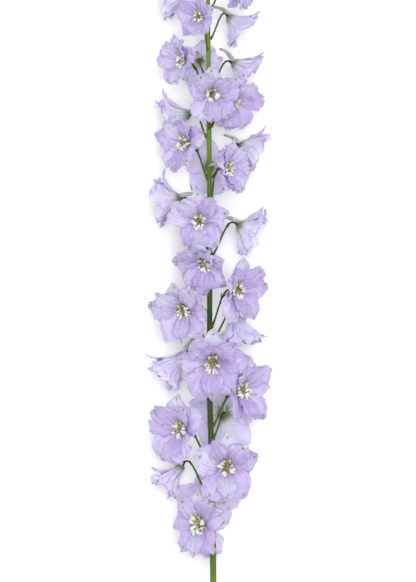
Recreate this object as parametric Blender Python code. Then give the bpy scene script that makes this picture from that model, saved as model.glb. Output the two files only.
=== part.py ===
"""Delphinium flower spike, cut and lying on a flat surface: a stem, its open flowers and its buds.

X runs across the spike, Y along it towards the tip and Z up from the surface. The sizes below
are in millimetres and degrees.
"""

import math
from typing import NamedTuple

import bmesh
import bpy
from mathutils import Matrix, Vector
from mathutils.bvhtree import BVHTree

MM = 0.001
UP = Vector((0, 0, 1))
ALONG = Vector((0, 1, 0))

# Stem: heights run along it, from the lower edge of what the photograph shows
STEM_CUT = -90
STEM_TOP = 575
STEM_RADII = ((-90, 2.6), (0, 2.35), (300, 1.8), (400, 1.6), (520, 1.0), (575, 0.6))
STEM_DRIFT = ((-90, 4.6), (10, 3.9), (112, 2.2), (137, 1.2), (283, 1.3), (395, 0.2), (575, -0.6))
STEM_RINGS = 12
STEM_SIDES = 12
AXIS_UP = 33.0
GAP = 0.3
CENTRE_X = 1.7237
CENTRE_Y = 242.5

# Flower: hub rings as (radius, distance in front of the receptacle)
HUB_BACK = (1.1, -3.2)
HUB_LOW = (2.2, -1.2)
HUB_MID = (3.2, 0.6)
HUB_TOP = (3.5, 2.4)
HUB_BOSS = (1.8, 7.5)
HUB_SIDES = 10
PEDICEL_RADIUS = 0.95
PEDICEL_SIDES = 5
PEDICEL_STEPS = 3
SPUR_LENGTH = 15.0
SPUR_RADII = (1.7, 1.5, 0.9)
SPUR_RISE = 22
SPUR_BEND = 14
SEPAL_THICKNESS = 1.0
EDGE_SLANT = 0.3
SEPAL_STEPS = 20
ROOM_ACROSS = 0.64


class Whorl(NamedTuple):
    """Sepals of one ring: hub faces they grow from, sizes, and angles to the flower's plane."""

    faces: tuple
    columns: tuple
    root: tuple
    length: float
    half_width: float
    cup: float
    angle_in: float
    angle_out: float


OUTER = Whorl((0, 2, 4, 6, 8), (-1, 0, 1), (2.7, -0.3), 28.0, 9.6, 1.6, 56.0, -2.0)
INNER = Whorl((1, 9, 5), (-1, 1), (3.35, 1.5), 24.0, 7.2, 1.2, 63.0, 5.0)
SEPAL_ROWS = ((0.6, 1.0), (0.95, 0.55))


class Flower(NamedTuple):
    """Receptacle as height along the stem, angle around it and reach from its axis, then where
    the flower faces (0 is up from the surface), how far it lifts towards the tip, and its looks,
    the last being how far its spur droops."""

    height: float
    around: float
    reach: float
    facing: float
    lift: float
    roll: float = 0
    size: float = 1
    closing: float = 0
    droop: float = 0


FLOWERS = (
    Flower(35, -165, 17, -165, -45, 0, 0.65),
    Flower(45, -17, 25, -38, 0, 0, 0.92, -18),
    Flower(57, -170, 22, 180, 0, 0, 1.08),
    Flower(87, -100, 23, -100, -50, 0, 0.95, 30),
    Flower(88, 26, 25, 3, -3, 0, 1.03),
    Flower(115, -50, 26, -40, 3, 0, 1.06),
    Flower(126, 150, 20, 180, -10, 0, 1.12),
    Flower(144, 55, 26, 42, 0, 0, 1.02),
    Flower(170, -105, 20, -105, -42, 0, 1.05, 26),
    Flower(166, 5, 25, 0, -15, 0, 1.12),
    Flower(200, 80, 19, 75, -76, 0, 1.05, 22),
    Flower(205, -45, 26, -25, -20),
    Flower(219, 40, 27, 40, -5, 0, 0.98),
    Flower(241, -5, 25, -30, -35, 0, 0.95),
    Flower(270, -18, 25, -5, 0, 0, 0.92),
    Flower(268, 100, 22, 112, -28, 0, 0.9, 4, 24),
    Flower(288, -95, 23, -100, -5, 0, 0.95, 8, 14),
    Flower(309, 25, 25, 52, 0, 0, 0.85),
    Flower(312, 180, 21, 180, 0, 0, 0.9),
    Flower(328, -41, 25, -40, 0, 0, 0.92),
    Flower(328, 100, 23.8, 98, -16, 0, 0.85, 10),
    Flower(351, -115, 17, -100, -5, 0, 1.0, 19),
    Flower(361, 60, 19, 24, -22, 0, 0.86),
    Flower(365, 6, 24, 5, -15, 0, 0.83),
    Flower(389, 90, 19, 90, -28, 0, 0.9, 12, -8),
    Flower(389, -46, 24, -50, 0, 0, 0.78),
    Flower(393, -160, 20, 172, -12, 0, 0.74, 4),
    Flower(424, 100, 16, 95, -44, 0, 0.88, 14, 30),
    Flower(422, -17, 22, -20, 0, 0, 0.68),
    Flower(441, -95, 17, -105, -12, 0, 0.88, 15),
    Flower(449, 75, 19, 60, -10, 0, 0.85),
    Flower(166, 178, 22, 178, -10, 0, 0.85),
    Flower(240, -165, 20, -165, -10, 0, 0.7),
    Flower(270, -172, 20, -175, 0, 0, 0.65),
    Flower(462, -25, 16, -25, 10, 0, 0.7, 8),
    Flower(470, -140, 16, -140, 10, 0, 0.7, 8),
    Flower(484, 150, 14, 150, 20, 0, 0.65, 12),
    Flower(492, 50, 13, 50, 25, 0, 0.6, 15),
    Flower(505, -80, 12, -80, 30, 0, 0.55, 18),
)

# Buds: one after another up the stem, turned by the same angle each time
BUDS = 10
BUD_TURN = 137.5
BUD_HEIGHTS = (516, 571)
BUD_REACHES = (12.0, 3.0)
BUD_LENGTHS = (12.0, 4.0)
BUD_PROFILE = ((0.0, 0.12), (0.2, 0.3), (0.5, 0.34), (0.8, 0.2), (1.0, 0.05))

# Shapes that a sepal may settle into, the first that is clear of its neighbours being taken
SETTLE_LENGTHS = (1.0, 0.88, 0.76, 0.64)
SETTLE_BENDS = (0, 12, -12, 24, -24, 36, -36, 48)
SETTLE_SWINGS = (0, 8, -8)
SETTLE_SPURS = ((0, 0), (0, 25), (0, -25), (20, 0), (20, 30), (20, -30), (-15, 0), (35, 0))
SETTLE_FEET = ((0, 0), (0, 15), (0, -15), (-6, 0), (6, 0), (-6, 20), (-6, -20), (8, 25), (8, -25))
NEIGHBOUR_REACH = 80.0

COLOURS = {
    "stem": (0.105, 0.19, 0.04),
    "flower": (0.56, 0.47, 0.80),
    "bud": (0.34, 0.40, 0.36),
}


def value_at(points, at):
    """Value on the straight lines between (place, value) points."""
    for (a, low), (b, high) in zip(points, points[1:]):
        if at <= b:
            return low + (high - low) * (at - a) / (b - a)
    return points[-1][1]


def stem_axis(height):
    return Vector((value_at(STEM_DRIFT, height) - CENTRE_X, height - CENTRE_Y, AXIS_UP))


def outwards(around):
    """Direction away from the stem at an angle around it, 0 being up from the surface."""
    turn = math.radians(around)
    return Vector((math.sin(turn), 0, math.cos(turn)))


def hermite(start, start_pull, end, end_pull, t):
    return (
        start * (2 * t**3 - 3 * t**2 + 1)
        + start_pull * (t**3 - 2 * t**2 + t)
        + end * (3 * t**2 - 2 * t**3)
        + end_pull * (t**3 - t**2)
    )


def square_to(side, direction):
    return (side - direction * side.dot(direction)).normalized()


def circle(centre, side, direction, radius, count, first=90.0):
    other = direction.cross(side)
    turns = (math.radians(first + 360 * i / count) for i in range(count))
    return [centre + (side * math.cos(t) + other * math.sin(t)) * radius for t in turns]


class Shell:
    """Points and faces of a surface, built up from loops of points."""

    def __init__(self):
        self.points = []
        self.faces = []

    def loop(self, points):
        start = len(self.points)
        self.points.extend(points)
        return list(range(start, len(self.points)))

    def band(self, low, high, skip=()):
        count = len(low)
        for i in range(count):
            if i not in skip:
                j = (i + 1) % count
                self.faces.append((low[i], low[j], high[j], high[i]))

    def widen(self, narrow, wide):
        """Joins a loop to one that has twice as many points."""
        count = len(narrow)
        for i in range(count):
            j = (i + 1) % count
            self.faces.append((narrow[i], wide[2 * i + 1], wide[2 * i]))
            self.faces.append((narrow[i], narrow[j], wide[(2 * i + 2) % len(wide)], wide[2 * i + 1]))

    def cap(self, loop):
        self.faces.append(tuple(loop))

    def tube(self, low, loops):
        """Bands from a loop on through the others, to a cap on the last."""
        for points in loops:
            high = self.loop(points)
            self.band(low, high)
            low = high
        self.cap(low)


def frame_of(flower):
    """The flower's own axes and receptacle: X across, Y towards its spurred sepal, Z ahead."""
    ahead = outwards(flower.facing) * math.cos(math.radians(flower.lift))
    ahead += ALONG * math.sin(math.radians(flower.lift))
    up = square_to(ALONG, ahead)
    up = Matrix.Rotation(math.radians(flower.roll), 3, ahead) @ up
    across = up.cross(ahead)
    centre = stem_axis(flower.height) + outwards(flower.around) * flower.reach
    frame = Matrix((across, up, ahead)).transposed().to_4x4()
    frame.translation = centre
    return frame


def hub_ring(flower, frame, ring, sides=HUB_SIDES):
    radius, front = (flower.size * value for value in ring)
    first = 90.0 - 180.0 / HUB_SIDES if sides == HUB_SIDES else 90.0
    flat = circle(Vector((0, 0, front)), Vector((1, 0, 0)), UP, radius, sides, first)
    return [frame @ point for point in flat]


def pedicel_loops(flower, frame, shift, spare=0.0):
    """Loops from just behind the hub down to the stem's surface, which its foot faces."""
    ahead, across = frame.col[2].xyz, frame.col[0].xyz
    foot_height = flower.height - 1.05 * flower.reach + shift[0]
    out = outwards(flower.around + shift[1])
    foot_distance = value_at(STEM_RADII, foot_height) + GAP
    start = stem_axis(foot_height) + out * foot_distance
    end = frame @ Vector((0, 0, HUB_BACK[1] * flower.size))
    span = (end - start).length
    start_pull = (out * 0.6 + ALONG * 0.8) * span
    end_pull = ahead * span * 0.9
    path = [hermite(start, start_pull, end, end_pull, i / PEDICEL_STEPS) for i in range(PEDICEL_STEPS)]
    directions = [out] + [
        (after - before).normalized() for before, after in zip(path, path[2:] + [end])
    ]
    loops, side = [], across
    for point, direction in reversed(list(zip(path, directions))):
        side = square_to(side, direction)
        loops.append(circle(point, side, direction, PEDICEL_RADIUS + spare, PEDICEL_SIDES))
    return loops


def spur_loops(flower, frame, shift, spare=0.0):
    """Loops of the spur, which runs back from the top of the hub and bends away from the stem."""
    size, loops = flower.size, []
    turn = Matrix.Rotation(math.radians(shift[1]), 3, "Z")
    place = Vector((0, 1.9, -2.2))
    for i, radius in enumerate(SPUR_RADII):
        angle = math.radians(SPUR_RISE - SPUR_BEND * i + shift[0] - flower.droop)
        direction = turn @ Vector((0, math.sin(angle), -math.cos(angle)))
        place = place + direction * SPUR_LENGTH / len(SPUR_RADII)
        side = square_to(Vector((1, 0, 0)), direction)
        ring = circle(place * size, side, direction, radius * size + spare, 4, 45.0)
        loops.append([frame @ point for point in ring])
    return loops


def neck_and_pedicel(flower, frame, shift, spare=0.0):
    """The pedicel's loops with the one where it meets the back of the hub."""
    back = hub_ring(flower, frame, HUB_BACK, PEDICEL_SIDES)
    return [back] + pedicel_loops(flower, frame, shift, spare)


def root_and_spur(flower, frame, shift, spare=0.0):
    """The spur's loops with the one that it grows from."""
    back, low = hub_ring(flower, frame, HUB_BACK), hub_ring(flower, frame, HUB_LOW)
    return [[back[0], back[1], low[1], low[0]]] + spur_loops(flower, frame, shift, spare)


def midrib(flower, frame, whorl, face, shape):
    """Points and front normals of a sepal's middle line, which lies down where it meets the
    surface."""
    length, bend, swing = shape
    turn = math.radians(90 + 360 / HUB_SIDES * face + swing)
    radial = frame.to_3x3() @ Vector((math.cos(turn), math.sin(turn), 0))
    ahead = frame.col[2].xyz
    step = whorl.length * flower.size * length / SEPAL_STEPS
    place = frame @ (Vector((0, 0, whorl.root[1])) * flower.size)
    place = place + radial * whorl.root[0] * flower.size
    line, facing_up = [], 0
    for i in range(SEPAL_STEPS + 1):
        along = i / SEPAL_STEPS
        angle = whorl.angle_in + (whorl.angle_out - whorl.angle_in) * along
        angle = math.radians(angle + flower.closing + bend * min(1, 2 * along))
        direction = radial * math.cos(angle) + ahead * math.sin(angle)
        normal = ahead * math.cos(angle) - radial * math.sin(angle)
        line.append((place, normal))
        place = place + direction * step
        if place.z < SEPAL_THICKNESS / 2:
            flat = Vector((direction.x, direction.y, 0)).normalized()
            place = line[-1][0] + flat * step
            place.z = SEPAL_THICKNESS / 2
            facing_up = facing_up or math.copysign(1, normal.z)
            line[-1] = (line[-1][0], UP * facing_up)
    return line


def sepal_loops(flower, frame, whorl, face, shape, spare=0.0):
    """Loops around the sepal at each of its rows, the first side of each being its back."""
    line = midrib(flower, frame, whorl, face, shape)
    turn = math.radians(90 + 360 / HUB_SIDES * face + shape[2])
    sideways = frame.to_3x3() @ Vector((-math.sin(turn), math.cos(turn), 0))
    thick = SEPAL_THICKNESS / 2 + spare
    loops = []
    for along, width in SEPAL_ROWS:
        place, normal = line[round(along * SEPAL_STEPS)]
        half = whorl.half_width * flower.size * width * (0.5 + 0.5 * shape[0])
        half = min(half, off_axis(frame, place) * ROOM_ACROSS) + spare
        row = []
        for column in whorl.columns:
            cup = whorl.cup * flower.size * (column**2 - 0.5) * width
            point = place + sideways * half * column + normal * cup
            point.z = max(point.z, thick)
            row.append(point)
        slants = [sideways * EDGE_SLANT * column for column in whorl.columns]
        back = [point - normal * thick for point in row]
        front = [point + normal * thick - slant for point, slant in zip(row, slants)]
        loops.append(back + front[::-1])
    return loops


def off_axis(frame, place):
    """Distance of a place from the flower's axis."""
    from_centre = place - frame.translation
    return from_centre.cross(frame.col[2].xyz).length


class Obstacles:
    """What has been placed so far, for finding shapes that are clear of it."""

    def __init__(self):
        self.placed = []

    def add(self, centre, shell, owner=None):
        tree = BVHTree.FromPolygons(shell.points, shell.faces)
        self.placed.append((centre, tree, owner))

    def clear(self, centre, shell, owner=None):
        tree = BVHTree.FromPolygons(shell.points, shell.faces)
        for other_centre, other, other_owner in self.placed:
            if owner is not None and owner == other_owner:
                continue
            near = other_centre is None or (centre - other_centre).length < NEIGHBOUR_REACH
            if near and tree.overlap(other):
                return False
        return True


def shell_of(loops):
    """A closed surface around loops that all have the same number of points."""
    shell = Shell()
    first = shell.loop(loops[0])
    shell.cap(first)
    shell.tube(first, loops[1:])
    return shell


def settle(obstacles, centre, owner, choices, make_loops):
    """The first choice whose loops are clear of what is placed, and whether one was."""
    for choice in choices:
        if obstacles.clear(centre, shell_of(make_loops(choice, GAP)), owner):
            return choice, True
    return choices[0], False


def settle_all():
    """For each flower, its frame, pedicel, spur and sepals in shapes that are clear of the rest."""
    obstacles = Obstacles()
    obstacles.add(None, stem_shell())
    frames = [frame_of(flower) for flower in FLOWERS]
    settled = [{"frame": frame, "failed": []} for frame in frames]
    order = sorted(range(len(FLOWERS)), key=lambda i: -frames[i].translation.z)
    for i in order:
        rings = (HUB_BACK, HUB_LOW, HUB_MID, HUB_TOP, HUB_BOSS)
        hub = shell_of([hub_ring(FLOWERS[i], frames[i], ring) for ring in rings])
        obstacles.add(frames[i].translation, hub, i)
    for kind, make_loops, choices in (
        ("pedicel", neck_and_pedicel, SETTLE_FEET),
        ("spur", root_and_spur, SETTLE_SPURS),
    ):
        for i in order:
            settle_piece(obstacles, settled, i, kind, choices, make_loops)
    shapes = [
        (length, bend, swing)
        for length in SETTLE_LENGTHS
        for bend in SETTLE_BENDS
        for swing in SETTLE_SWINGS
    ]
    for whorl in (OUTER, INNER):
        for i in order:
            for face in whorl.faces:
                settle_piece(obstacles, settled, i, (whorl, face), shapes, free_loops(whorl, face))
    return settled


def settle_piece(obstacles, settled, i, kind, choices, make_loops):
    flower, frame = FLOWERS[i], settled[i]["frame"]
    owner = i if isinstance(kind, str) else None

    def loops_of(choice, spare):
        return make_loops(flower, frame, choice, spare)

    choice, good = settle(obstacles, frame.translation, i, choices, loops_of)
    obstacles.add(frame.translation, shell_of(loops_of(choice, 0.0)), owner)
    settled[i][kind] = choice
    if not good:
        settled[i]["failed"].append(kind)


def free_loops(whorl, face):
    """A function for the loops of a sepal without the first stretch out of its hub."""

    def loops_of(flower, frame, shape, spare):
        rows = sepal_loops(flower, frame, whorl, face, shape, spare)
        base = base_loop(flower, frame, whorl, face)
        return [[low.lerp(high, 0.3) for low, high in zip(base, rows[0])]] + rows

    return loops_of


def base_loop(flower, frame, whorl, face):
    """Loop around the hub face that a sepal grows from, with a point for each column."""
    low, high = (HUB_LOW, HUB_MID) if whorl is OUTER else (HUB_MID, HUB_TOP)
    back, front = hub_ring(flower, frame, low), hub_ring(flower, frame, high)
    after = (face + 1) % HUB_SIDES
    back_row = [back[face].lerp(back[after], (column + 1) / 2) for column in whorl.columns]
    front_row = [front[face].lerp(front[after], (column + 1) / 2) for column in whorl.columns]
    return back_row + front_row[::-1]


def stem_loops():
    loops = []
    for i in range(STEM_RINGS + 1):
        height = STEM_CUT + (STEM_TOP - STEM_CUT) * i / STEM_RINGS
        radius = value_at(STEM_RADII, height)
        loops.append(circle(stem_axis(height), Vector((1, 0, 0)), ALONG, radius, STEM_SIDES))
    return loops


def stem_shell():
    return shell_of(stem_loops())


def add_object(name, shell, colour, roughness):
    """A mesh object of one closed shell, with its own material."""
    mesh = bpy.data.meshes.new(name)
    mesh.from_pydata([point * MM for point in shell.points], [], shell.faces)
    work = bmesh.new()
    work.from_mesh(mesh)
    bmesh.ops.recalc_face_normals(work, faces=work.faces)
    if work.calc_volume(signed=True) < 0:
        bmesh.ops.reverse_faces(work, faces=work.faces)
    work.to_mesh(mesh)
    work.free()
    material = bpy.data.materials.new(name)
    material.use_nodes = True
    surface = material.node_tree.nodes["Principled BSDF"]
    surface.inputs["Base Color"].default_value = (*colour, 1)
    surface.inputs["Roughness"].default_value = roughness
    mesh.materials.append(material)
    thing = bpy.data.objects.new(name, mesh)
    bpy.context.scene.collection.objects.link(thing)
    return thing


def add_sepal(shell, base, rows):
    """Joins a sepal's rows to the four hub points of its base: back left, back right, front
    right, front left."""
    if len(rows[0]) == 4:
        shell.tube(base, rows)
        return
    back_left, back_right, front_right, front_left = base
    low = shell.loop(rows[0])
    shell.faces += [
        (back_left, back_right, low[1]),
        (back_left, low[1], low[0]),
        (back_right, low[2], low[1]),
        (back_right, front_right, low[3], low[2]),
        (front_right, front_left, low[4]),
        (front_right, low[4], low[3]),
        (front_left, low[5], low[4]),
        (front_left, back_left, low[0], low[5]),
    ]
    high = shell.loop(rows[1])
    shell.band(low, high)
    shell.faces += [(high[0], high[1], high[4], high[5]), (high[1], high[2], high[3], high[4])]


def flower_shell(flower, settled):
    frame = settled["frame"]
    shell = Shell()
    back, low, mid, top = (
        shell.loop(hub_ring(flower, frame, ring)) for ring in (HUB_BACK, HUB_LOW, HUB_MID, HUB_TOP)
    )
    pedicel = pedicel_loops(flower, frame, settled["pedicel"])
    neck = shell.loop(pedicel[0])
    shell.widen(neck, back)
    shell.tube(neck, pedicel[1:])
    shell.band(back, low, skip=(0,))
    shell.tube([back[0], back[1], low[1], low[0]], spur_loops(flower, frame, settled["spur"]))
    shell.band(low, mid, skip=OUTER.faces)
    shell.band(mid, top, skip=INNER.faces)
    for whorl, below, above in ((OUTER, low, mid), (INNER, mid, top)):
        for face in whorl.faces:
            after = (face + 1) % HUB_SIDES
            base = [below[face], below[after], above[after], above[face]]
            rows = sepal_loops(flower, frame, whorl, face, settled[(whorl, face)])
            add_sepal(shell, base, rows)
    boss = shell.loop(hub_ring(flower, frame, HUB_BOSS, 5))
    shell.widen(boss, top)
    shell.cap(boss)
    return shell


def bud_shell(share):
    """A bud with its pedicel, as one tube from the stem's surface to the bud's tip."""
    height, reach, length = (
        low + (high - low) * share for low, high in (BUD_HEIGHTS, BUD_REACHES, BUD_LENGTHS)
    )
    out = outwards(BUD_TURN * share * (BUDS - 1))
    foot_height = height - reach
    start = stem_axis(foot_height) + out * (value_at(STEM_RADII, foot_height) + GAP)
    lean = (out * 0.8 + ALONG * 0.6).normalized()
    end = stem_axis(height) + out * reach
    side = ALONG.cross(out)
    thin = PEDICEL_RADIUS * 0.8
    loops = [circle(start, side, out, thin, 6)]
    middle = hermite(start, (out + ALONG) * reach * 0.5, end, lean * reach, 0.5)
    loops.append(circle(middle, side, lean, thin, 6))
    for along, radius in BUD_PROFILE:
        loops.append(circle(end + lean * length * along, side, lean, length * radius, 6))
    return shell_of(loops)


def main():
    for thing in list(bpy.data.objects):
        bpy.data.objects.remove(thing)
    add_object("stem", stem_shell(), COLOURS["stem"], 0.5)
    settled = settle_all()
    for i, flower in enumerate(FLOWERS):
        name = f"flower_{i + 1:02d}"
        add_object(name, flower_shell(flower, settled[i]), COLOURS["flower"], 0.6)
    for i in range(BUDS):
        add_object(f"bud_{i + 1:02d}", bud_shell(i / (BUDS - 1)), COLOURS["bud"], 0.6)


if __name__ == "__main__":
    main()
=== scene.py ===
"""Looks of a cut delphinium spike that lies on a pale surface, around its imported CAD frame.

Sizes are in millimetres and angles in degrees unless a name says otherwise. X runs across the
spike, Y along it towards the tip and Z up from the surface. A blank is a piece in a straight
frame, X across, Y from 0 at its base to 1 at its tip, Z off its front. It is modelled once and
copied, and each copy is laid along a rib.
"""

import functools
import math
import random
from typing import NamedTuple

import bmesh
import bpy
import numpy as np
from mathutils import Matrix, Vector
from mathutils.bvhtree import BVHTree


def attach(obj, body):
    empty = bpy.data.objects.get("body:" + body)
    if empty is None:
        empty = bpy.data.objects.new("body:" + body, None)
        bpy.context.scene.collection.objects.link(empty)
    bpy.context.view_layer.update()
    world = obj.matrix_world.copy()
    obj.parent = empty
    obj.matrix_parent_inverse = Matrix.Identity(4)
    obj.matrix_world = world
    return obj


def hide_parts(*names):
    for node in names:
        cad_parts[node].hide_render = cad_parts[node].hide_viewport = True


bl_info = {
    "name": "Delphinium Spike",
    "version": (1, 0, 0),
    "blender": (4, 5, 0),
    "location": "View3D > Sidebar > Delphinium",
    "description": "Models the flowers, buds and stem of a cut delphinium spike around its frame",
    "category": "Add Mesh",
}

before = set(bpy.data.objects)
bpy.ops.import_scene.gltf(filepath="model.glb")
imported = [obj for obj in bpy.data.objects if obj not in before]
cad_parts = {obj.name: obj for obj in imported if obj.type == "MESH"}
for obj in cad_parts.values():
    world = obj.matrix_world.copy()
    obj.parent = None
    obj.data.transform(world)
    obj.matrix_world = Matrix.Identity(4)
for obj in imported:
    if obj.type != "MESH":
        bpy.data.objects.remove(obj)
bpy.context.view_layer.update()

MM = 0.001
UP = Vector((0, 0, 1))
ALONG = Vector((0, 1, 0))
BODY = "root"

# Stem: heights run along it, from the lower edge of what the photograph shows, and the rise of
# its ribs and nodes is a share of its radius
STEM_CUT = -90
STEM_TOP = 575
STEM_RADII = ((-90, 2.6), (0, 2.35), (300, 1.8), (400, 1.6), (520, 1.0), (575, 0.6))
STEM_DRIFT = ((-90, 4.6), (10, 3.9), (112, 2.2), (137, 1.2), (283, 1.3), (395, 0.2), (575, -0.6))
STEM_STEPS = 60
STEM_RIBS = 6
STEM_POINT = (1.002, 0.3)
RIB_RISE = 0.035
NODE_RISE = 0.07
NODE_REACH = 3.0
AXIS_UP = 33.0
CENTRE_X = 1.7237
CENTRE_Y = 242.5

# Cut end: widths of the rims around its pith and its hollow, and the hollow's depth as a share of
# the stem's length
CUT_RIM = 0.35
PITH_RIM = 0.9
PITH_DEPTH = 0.0006

# Room that pieces leave to each other, and least height of any point above the surface
GAP = 0.3
CLEAR = 0.3

# Flower: hub rings as (radius, distance in front of the receptacle)
HUB_BACK = (1.1, -3.2)
HUB_LOW = (2.2, -1.2)
HUB_MID = (3.2, 0.6)
HUB_TOP = (3.5, 2.4)
HUB_BOSS = (1.8, 7.5)
HUB_SIDES = 10
PEDICEL_RADIUS = 0.95
PEDICEL_SIDES = 5
PEDICEL_STEPS = 3
SPUR_ROOT = (0, 1.9, -2.2)
SPUR_LENGTH = 15.0
SPUR_RADII = (1.7, 1.5, 0.9)
SPUR_SIDES = 4
SPUR_RISE = 22
SPUR_BEND = 14
SPUR_WIDTH = 1.75
SEPAL_THICKNESS = 1.0
SEPAL_STEPS = 20
ROOM_ACROSS = 0.64

# How far below its receptacle a pedicel leaves the stem, as a share of the flower's reach
FOOT_BACK = 1.05


class Whorl(NamedTuple):
    """Sepals of one ring: hub faces they grow from, sizes, and angles to the flower's plane."""

    faces: tuple
    columns: tuple
    root: tuple
    length: float
    half_width: float
    cup: float
    angle_in: float
    angle_out: float


OUTER = Whorl((0, 2, 4, 6, 8), (-1, 0, 1), (2.7, -0.3), 28.0, 9.6, 1.6, 56.0, -2.0)
INNER = Whorl((1, 9, 5), (-1, 1), (3.35, 1.5), 24.0, 7.2, 1.2, 63.0, 5.0)
SEPAL_ROWS = ((0.6, 1.0), (0.95, 0.55))


class Flower(NamedTuple):
    """Receptacle as height along the stem, angle around it and reach from its axis, then where
    the flower faces (0 is up from the surface), how far it lifts towards the tip, and its looks,
    the last being how far its spur droops."""

    height: float
    around: float
    reach: float
    facing: float
    lift: float
    roll: float = 0
    size: float = 1
    closing: float = 0
    droop: float = 0


FLOWERS = (
    Flower(35, -165, 17, -165, -45, 0, 0.65),
    Flower(45, -17, 25, -38, 0, 0, 0.92, -18),
    Flower(57, -170, 22, 180, 0, 0, 1.08),
    Flower(87, -100, 23, -100, -50, 0, 0.95, 30),
    Flower(88, 26, 25, 3, -3, 0, 1.03),
    Flower(115, -50, 26, -40, 3, 0, 1.06),
    Flower(126, 150, 20, 180, -10, 0, 1.12),
    Flower(144, 55, 26, 42, 0, 0, 1.02),
    Flower(170, -105, 20, -105, -42, 0, 1.05, 26),
    Flower(166, 5, 25, 0, -15, 0, 1.12),
    Flower(200, 80, 19, 75, -76, 0, 1.05, 22),
    Flower(205, -45, 26, -25, -20),
    Flower(219, 40, 27, 40, -5, 0, 0.98),
    Flower(241, -5, 25, -30, -35, 0, 0.95),
    Flower(270, -18, 25, -5, 0, 0, 0.92),
    Flower(268, 100, 22, 112, -28, 0, 0.9, 4, 24),
    Flower(288, -95, 23, -100, -5, 0, 0.95, 8, 14),
    Flower(309, 25, 25, 52, 0, 0, 0.85),
    Flower(312, 180, 21, 180, 0, 0, 0.9),
    Flower(328, -41, 25, -40, 0, 0, 0.92),
    Flower(328, 100, 23.8, 98, -16, 0, 0.85, 10),
    Flower(351, -115, 17, -100, -5, 0, 1.0, 19),
    Flower(361, 60, 19, 24, -22, 0, 0.86),
    Flower(365, 6, 24, 5, -15, 0, 0.83),
    Flower(389, 90, 19, 90, -28, 0, 0.9, 12, -8),
    Flower(389, -46, 24, -50, 0, 0, 0.78),
    Flower(393, -160, 20, 172, -12, 0, 0.74, 4),
    Flower(424, 100, 16, 95, -44, 0, 0.88, 14, 30),
    Flower(422, -17, 22, -20, 0, 0, 0.68),
    Flower(441, -95, 17, -105, -12, 0, 0.88, 15),
    Flower(449, 75, 19, 60, -10, 0, 0.85),
    Flower(166, 178, 22, 178, -10, 0, 0.85),
    Flower(240, -165, 20, -165, -10, 0, 0.7),
    Flower(270, -172, 20, -175, 0, 0, 0.65),
    Flower(462, -25, 16, -25, 10, 0, 0.7, 8),
    Flower(470, -140, 16, -140, 10, 0, 0.7, 8),
    Flower(484, 150, 14, 150, 20, 0, 0.65, 12),
    Flower(492, 50, 13, 50, 25, 0, 0.6, 15),
    Flower(505, -80, 12, -80, 30, 0, 0.55, 18),
)

# Angle by which each bud or stamen is turned from the one before it
GOLDEN_TURN = 137.5

# Buds: first and last of their heights, reaches and lengths
BUDS = 10
BUD_HEIGHTS = (516, 571)
BUD_REACHES = (12.0, 3.0)
BUD_LENGTHS = (12.0, 4.0)

# Shapes that a sepal may settle into, the first that is clear of its neighbours being taken
SETTLE_LENGTHS = (1.0, 0.88, 0.76, 0.64)
SETTLE_BENDS = (0, 12, -12, 24, -24, 36, -36, 48)
SETTLE_SWINGS = (0, 8, -8)
SETTLE_SPURS = ((0, 0), (0, 25), (0, -25), (20, 0), (20, 30), (20, -30), (-15, 0), (35, 0))
SETTLE_FEET = ((0, 0), (0, 15), (0, -15), (-6, 0), (6, 0), (-6, 20), (-6, -20), (8, 25), (8, -25))
NEIGHBOUR_REACH = 80.0
OBSTACLE_STEPS = 12
OBSTACLE_SIDES = 12

# Petal-like sheets: half width at each place from base to tip, as a share of the widest
POINTED = (
    (0, 0.2), (0.07, 0.3), (0.17, 0.5), (0.3, 0.76), (0.44, 0.95), (0.54, 1.0), (0.65, 0.93),
    (0.75, 0.76), (0.84, 0.55), (0.91, 0.37), (0.96, 0.22), (1.0, 0.1),
)
BLUNT = (
    (0, 0.2), (0.07, 0.27), (0.17, 0.44), (0.3, 0.68), (0.44, 0.88), (0.58, 0.99), (0.7, 1.0),
    (0.8, 0.92), (0.88, 0.78), (0.94, 0.6), (0.98, 0.44), (1.0, 0.3),
)
LIMB_OUTLINE = (
    (0, 0.3), (0.4, 0.26), (0.55, 0.5), (0.7, 0.95), (0.82, 1.0), (0.93, 0.85), (1.0, 0.55),
)
BLADE_OUTLINE = ((0, 0.7), (0.35, 0.9), (0.6, 1.0), (0.85, 0.7), (1.0, 0.2))
BRACT_OUTLINE = ((0, 0.7), (0.3, 1.0), (0.7, 0.6), (1.0, 0.08))

# Sheets: faces across and along a sepal, its kinds with their notches, and walls
SEPAL_GRID = (14, 24)
SEPAL_KINDS = (("pointed", POINTED, 0.0), ("blunt", BLUNT, 0.0), ("notched", BLUNT, 0.09))
POINTED_SHARE = 0.45
LEAF_WALL = 0.25
PETAL_WALL = 0.3

# Leaves of a flower of size 1: lengths, half widths, how far the tips stand out, how far a bract
# starts below its pedicel, and the share of the pedicel at which its bracteoles grow
BRACT_LENGTH = 8.5
BRACT_WIDTH = 1.15
BRACT_LEAN = 4.2
BRACT_DROP = 1.6
BRACTEOLE_LENGTH = 5.5
BRACTEOLE_WIDTH = 0.55
BRACTEOLE_LEAN = 3.0
BRACTEOLE_PLACE = 0.6

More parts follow.
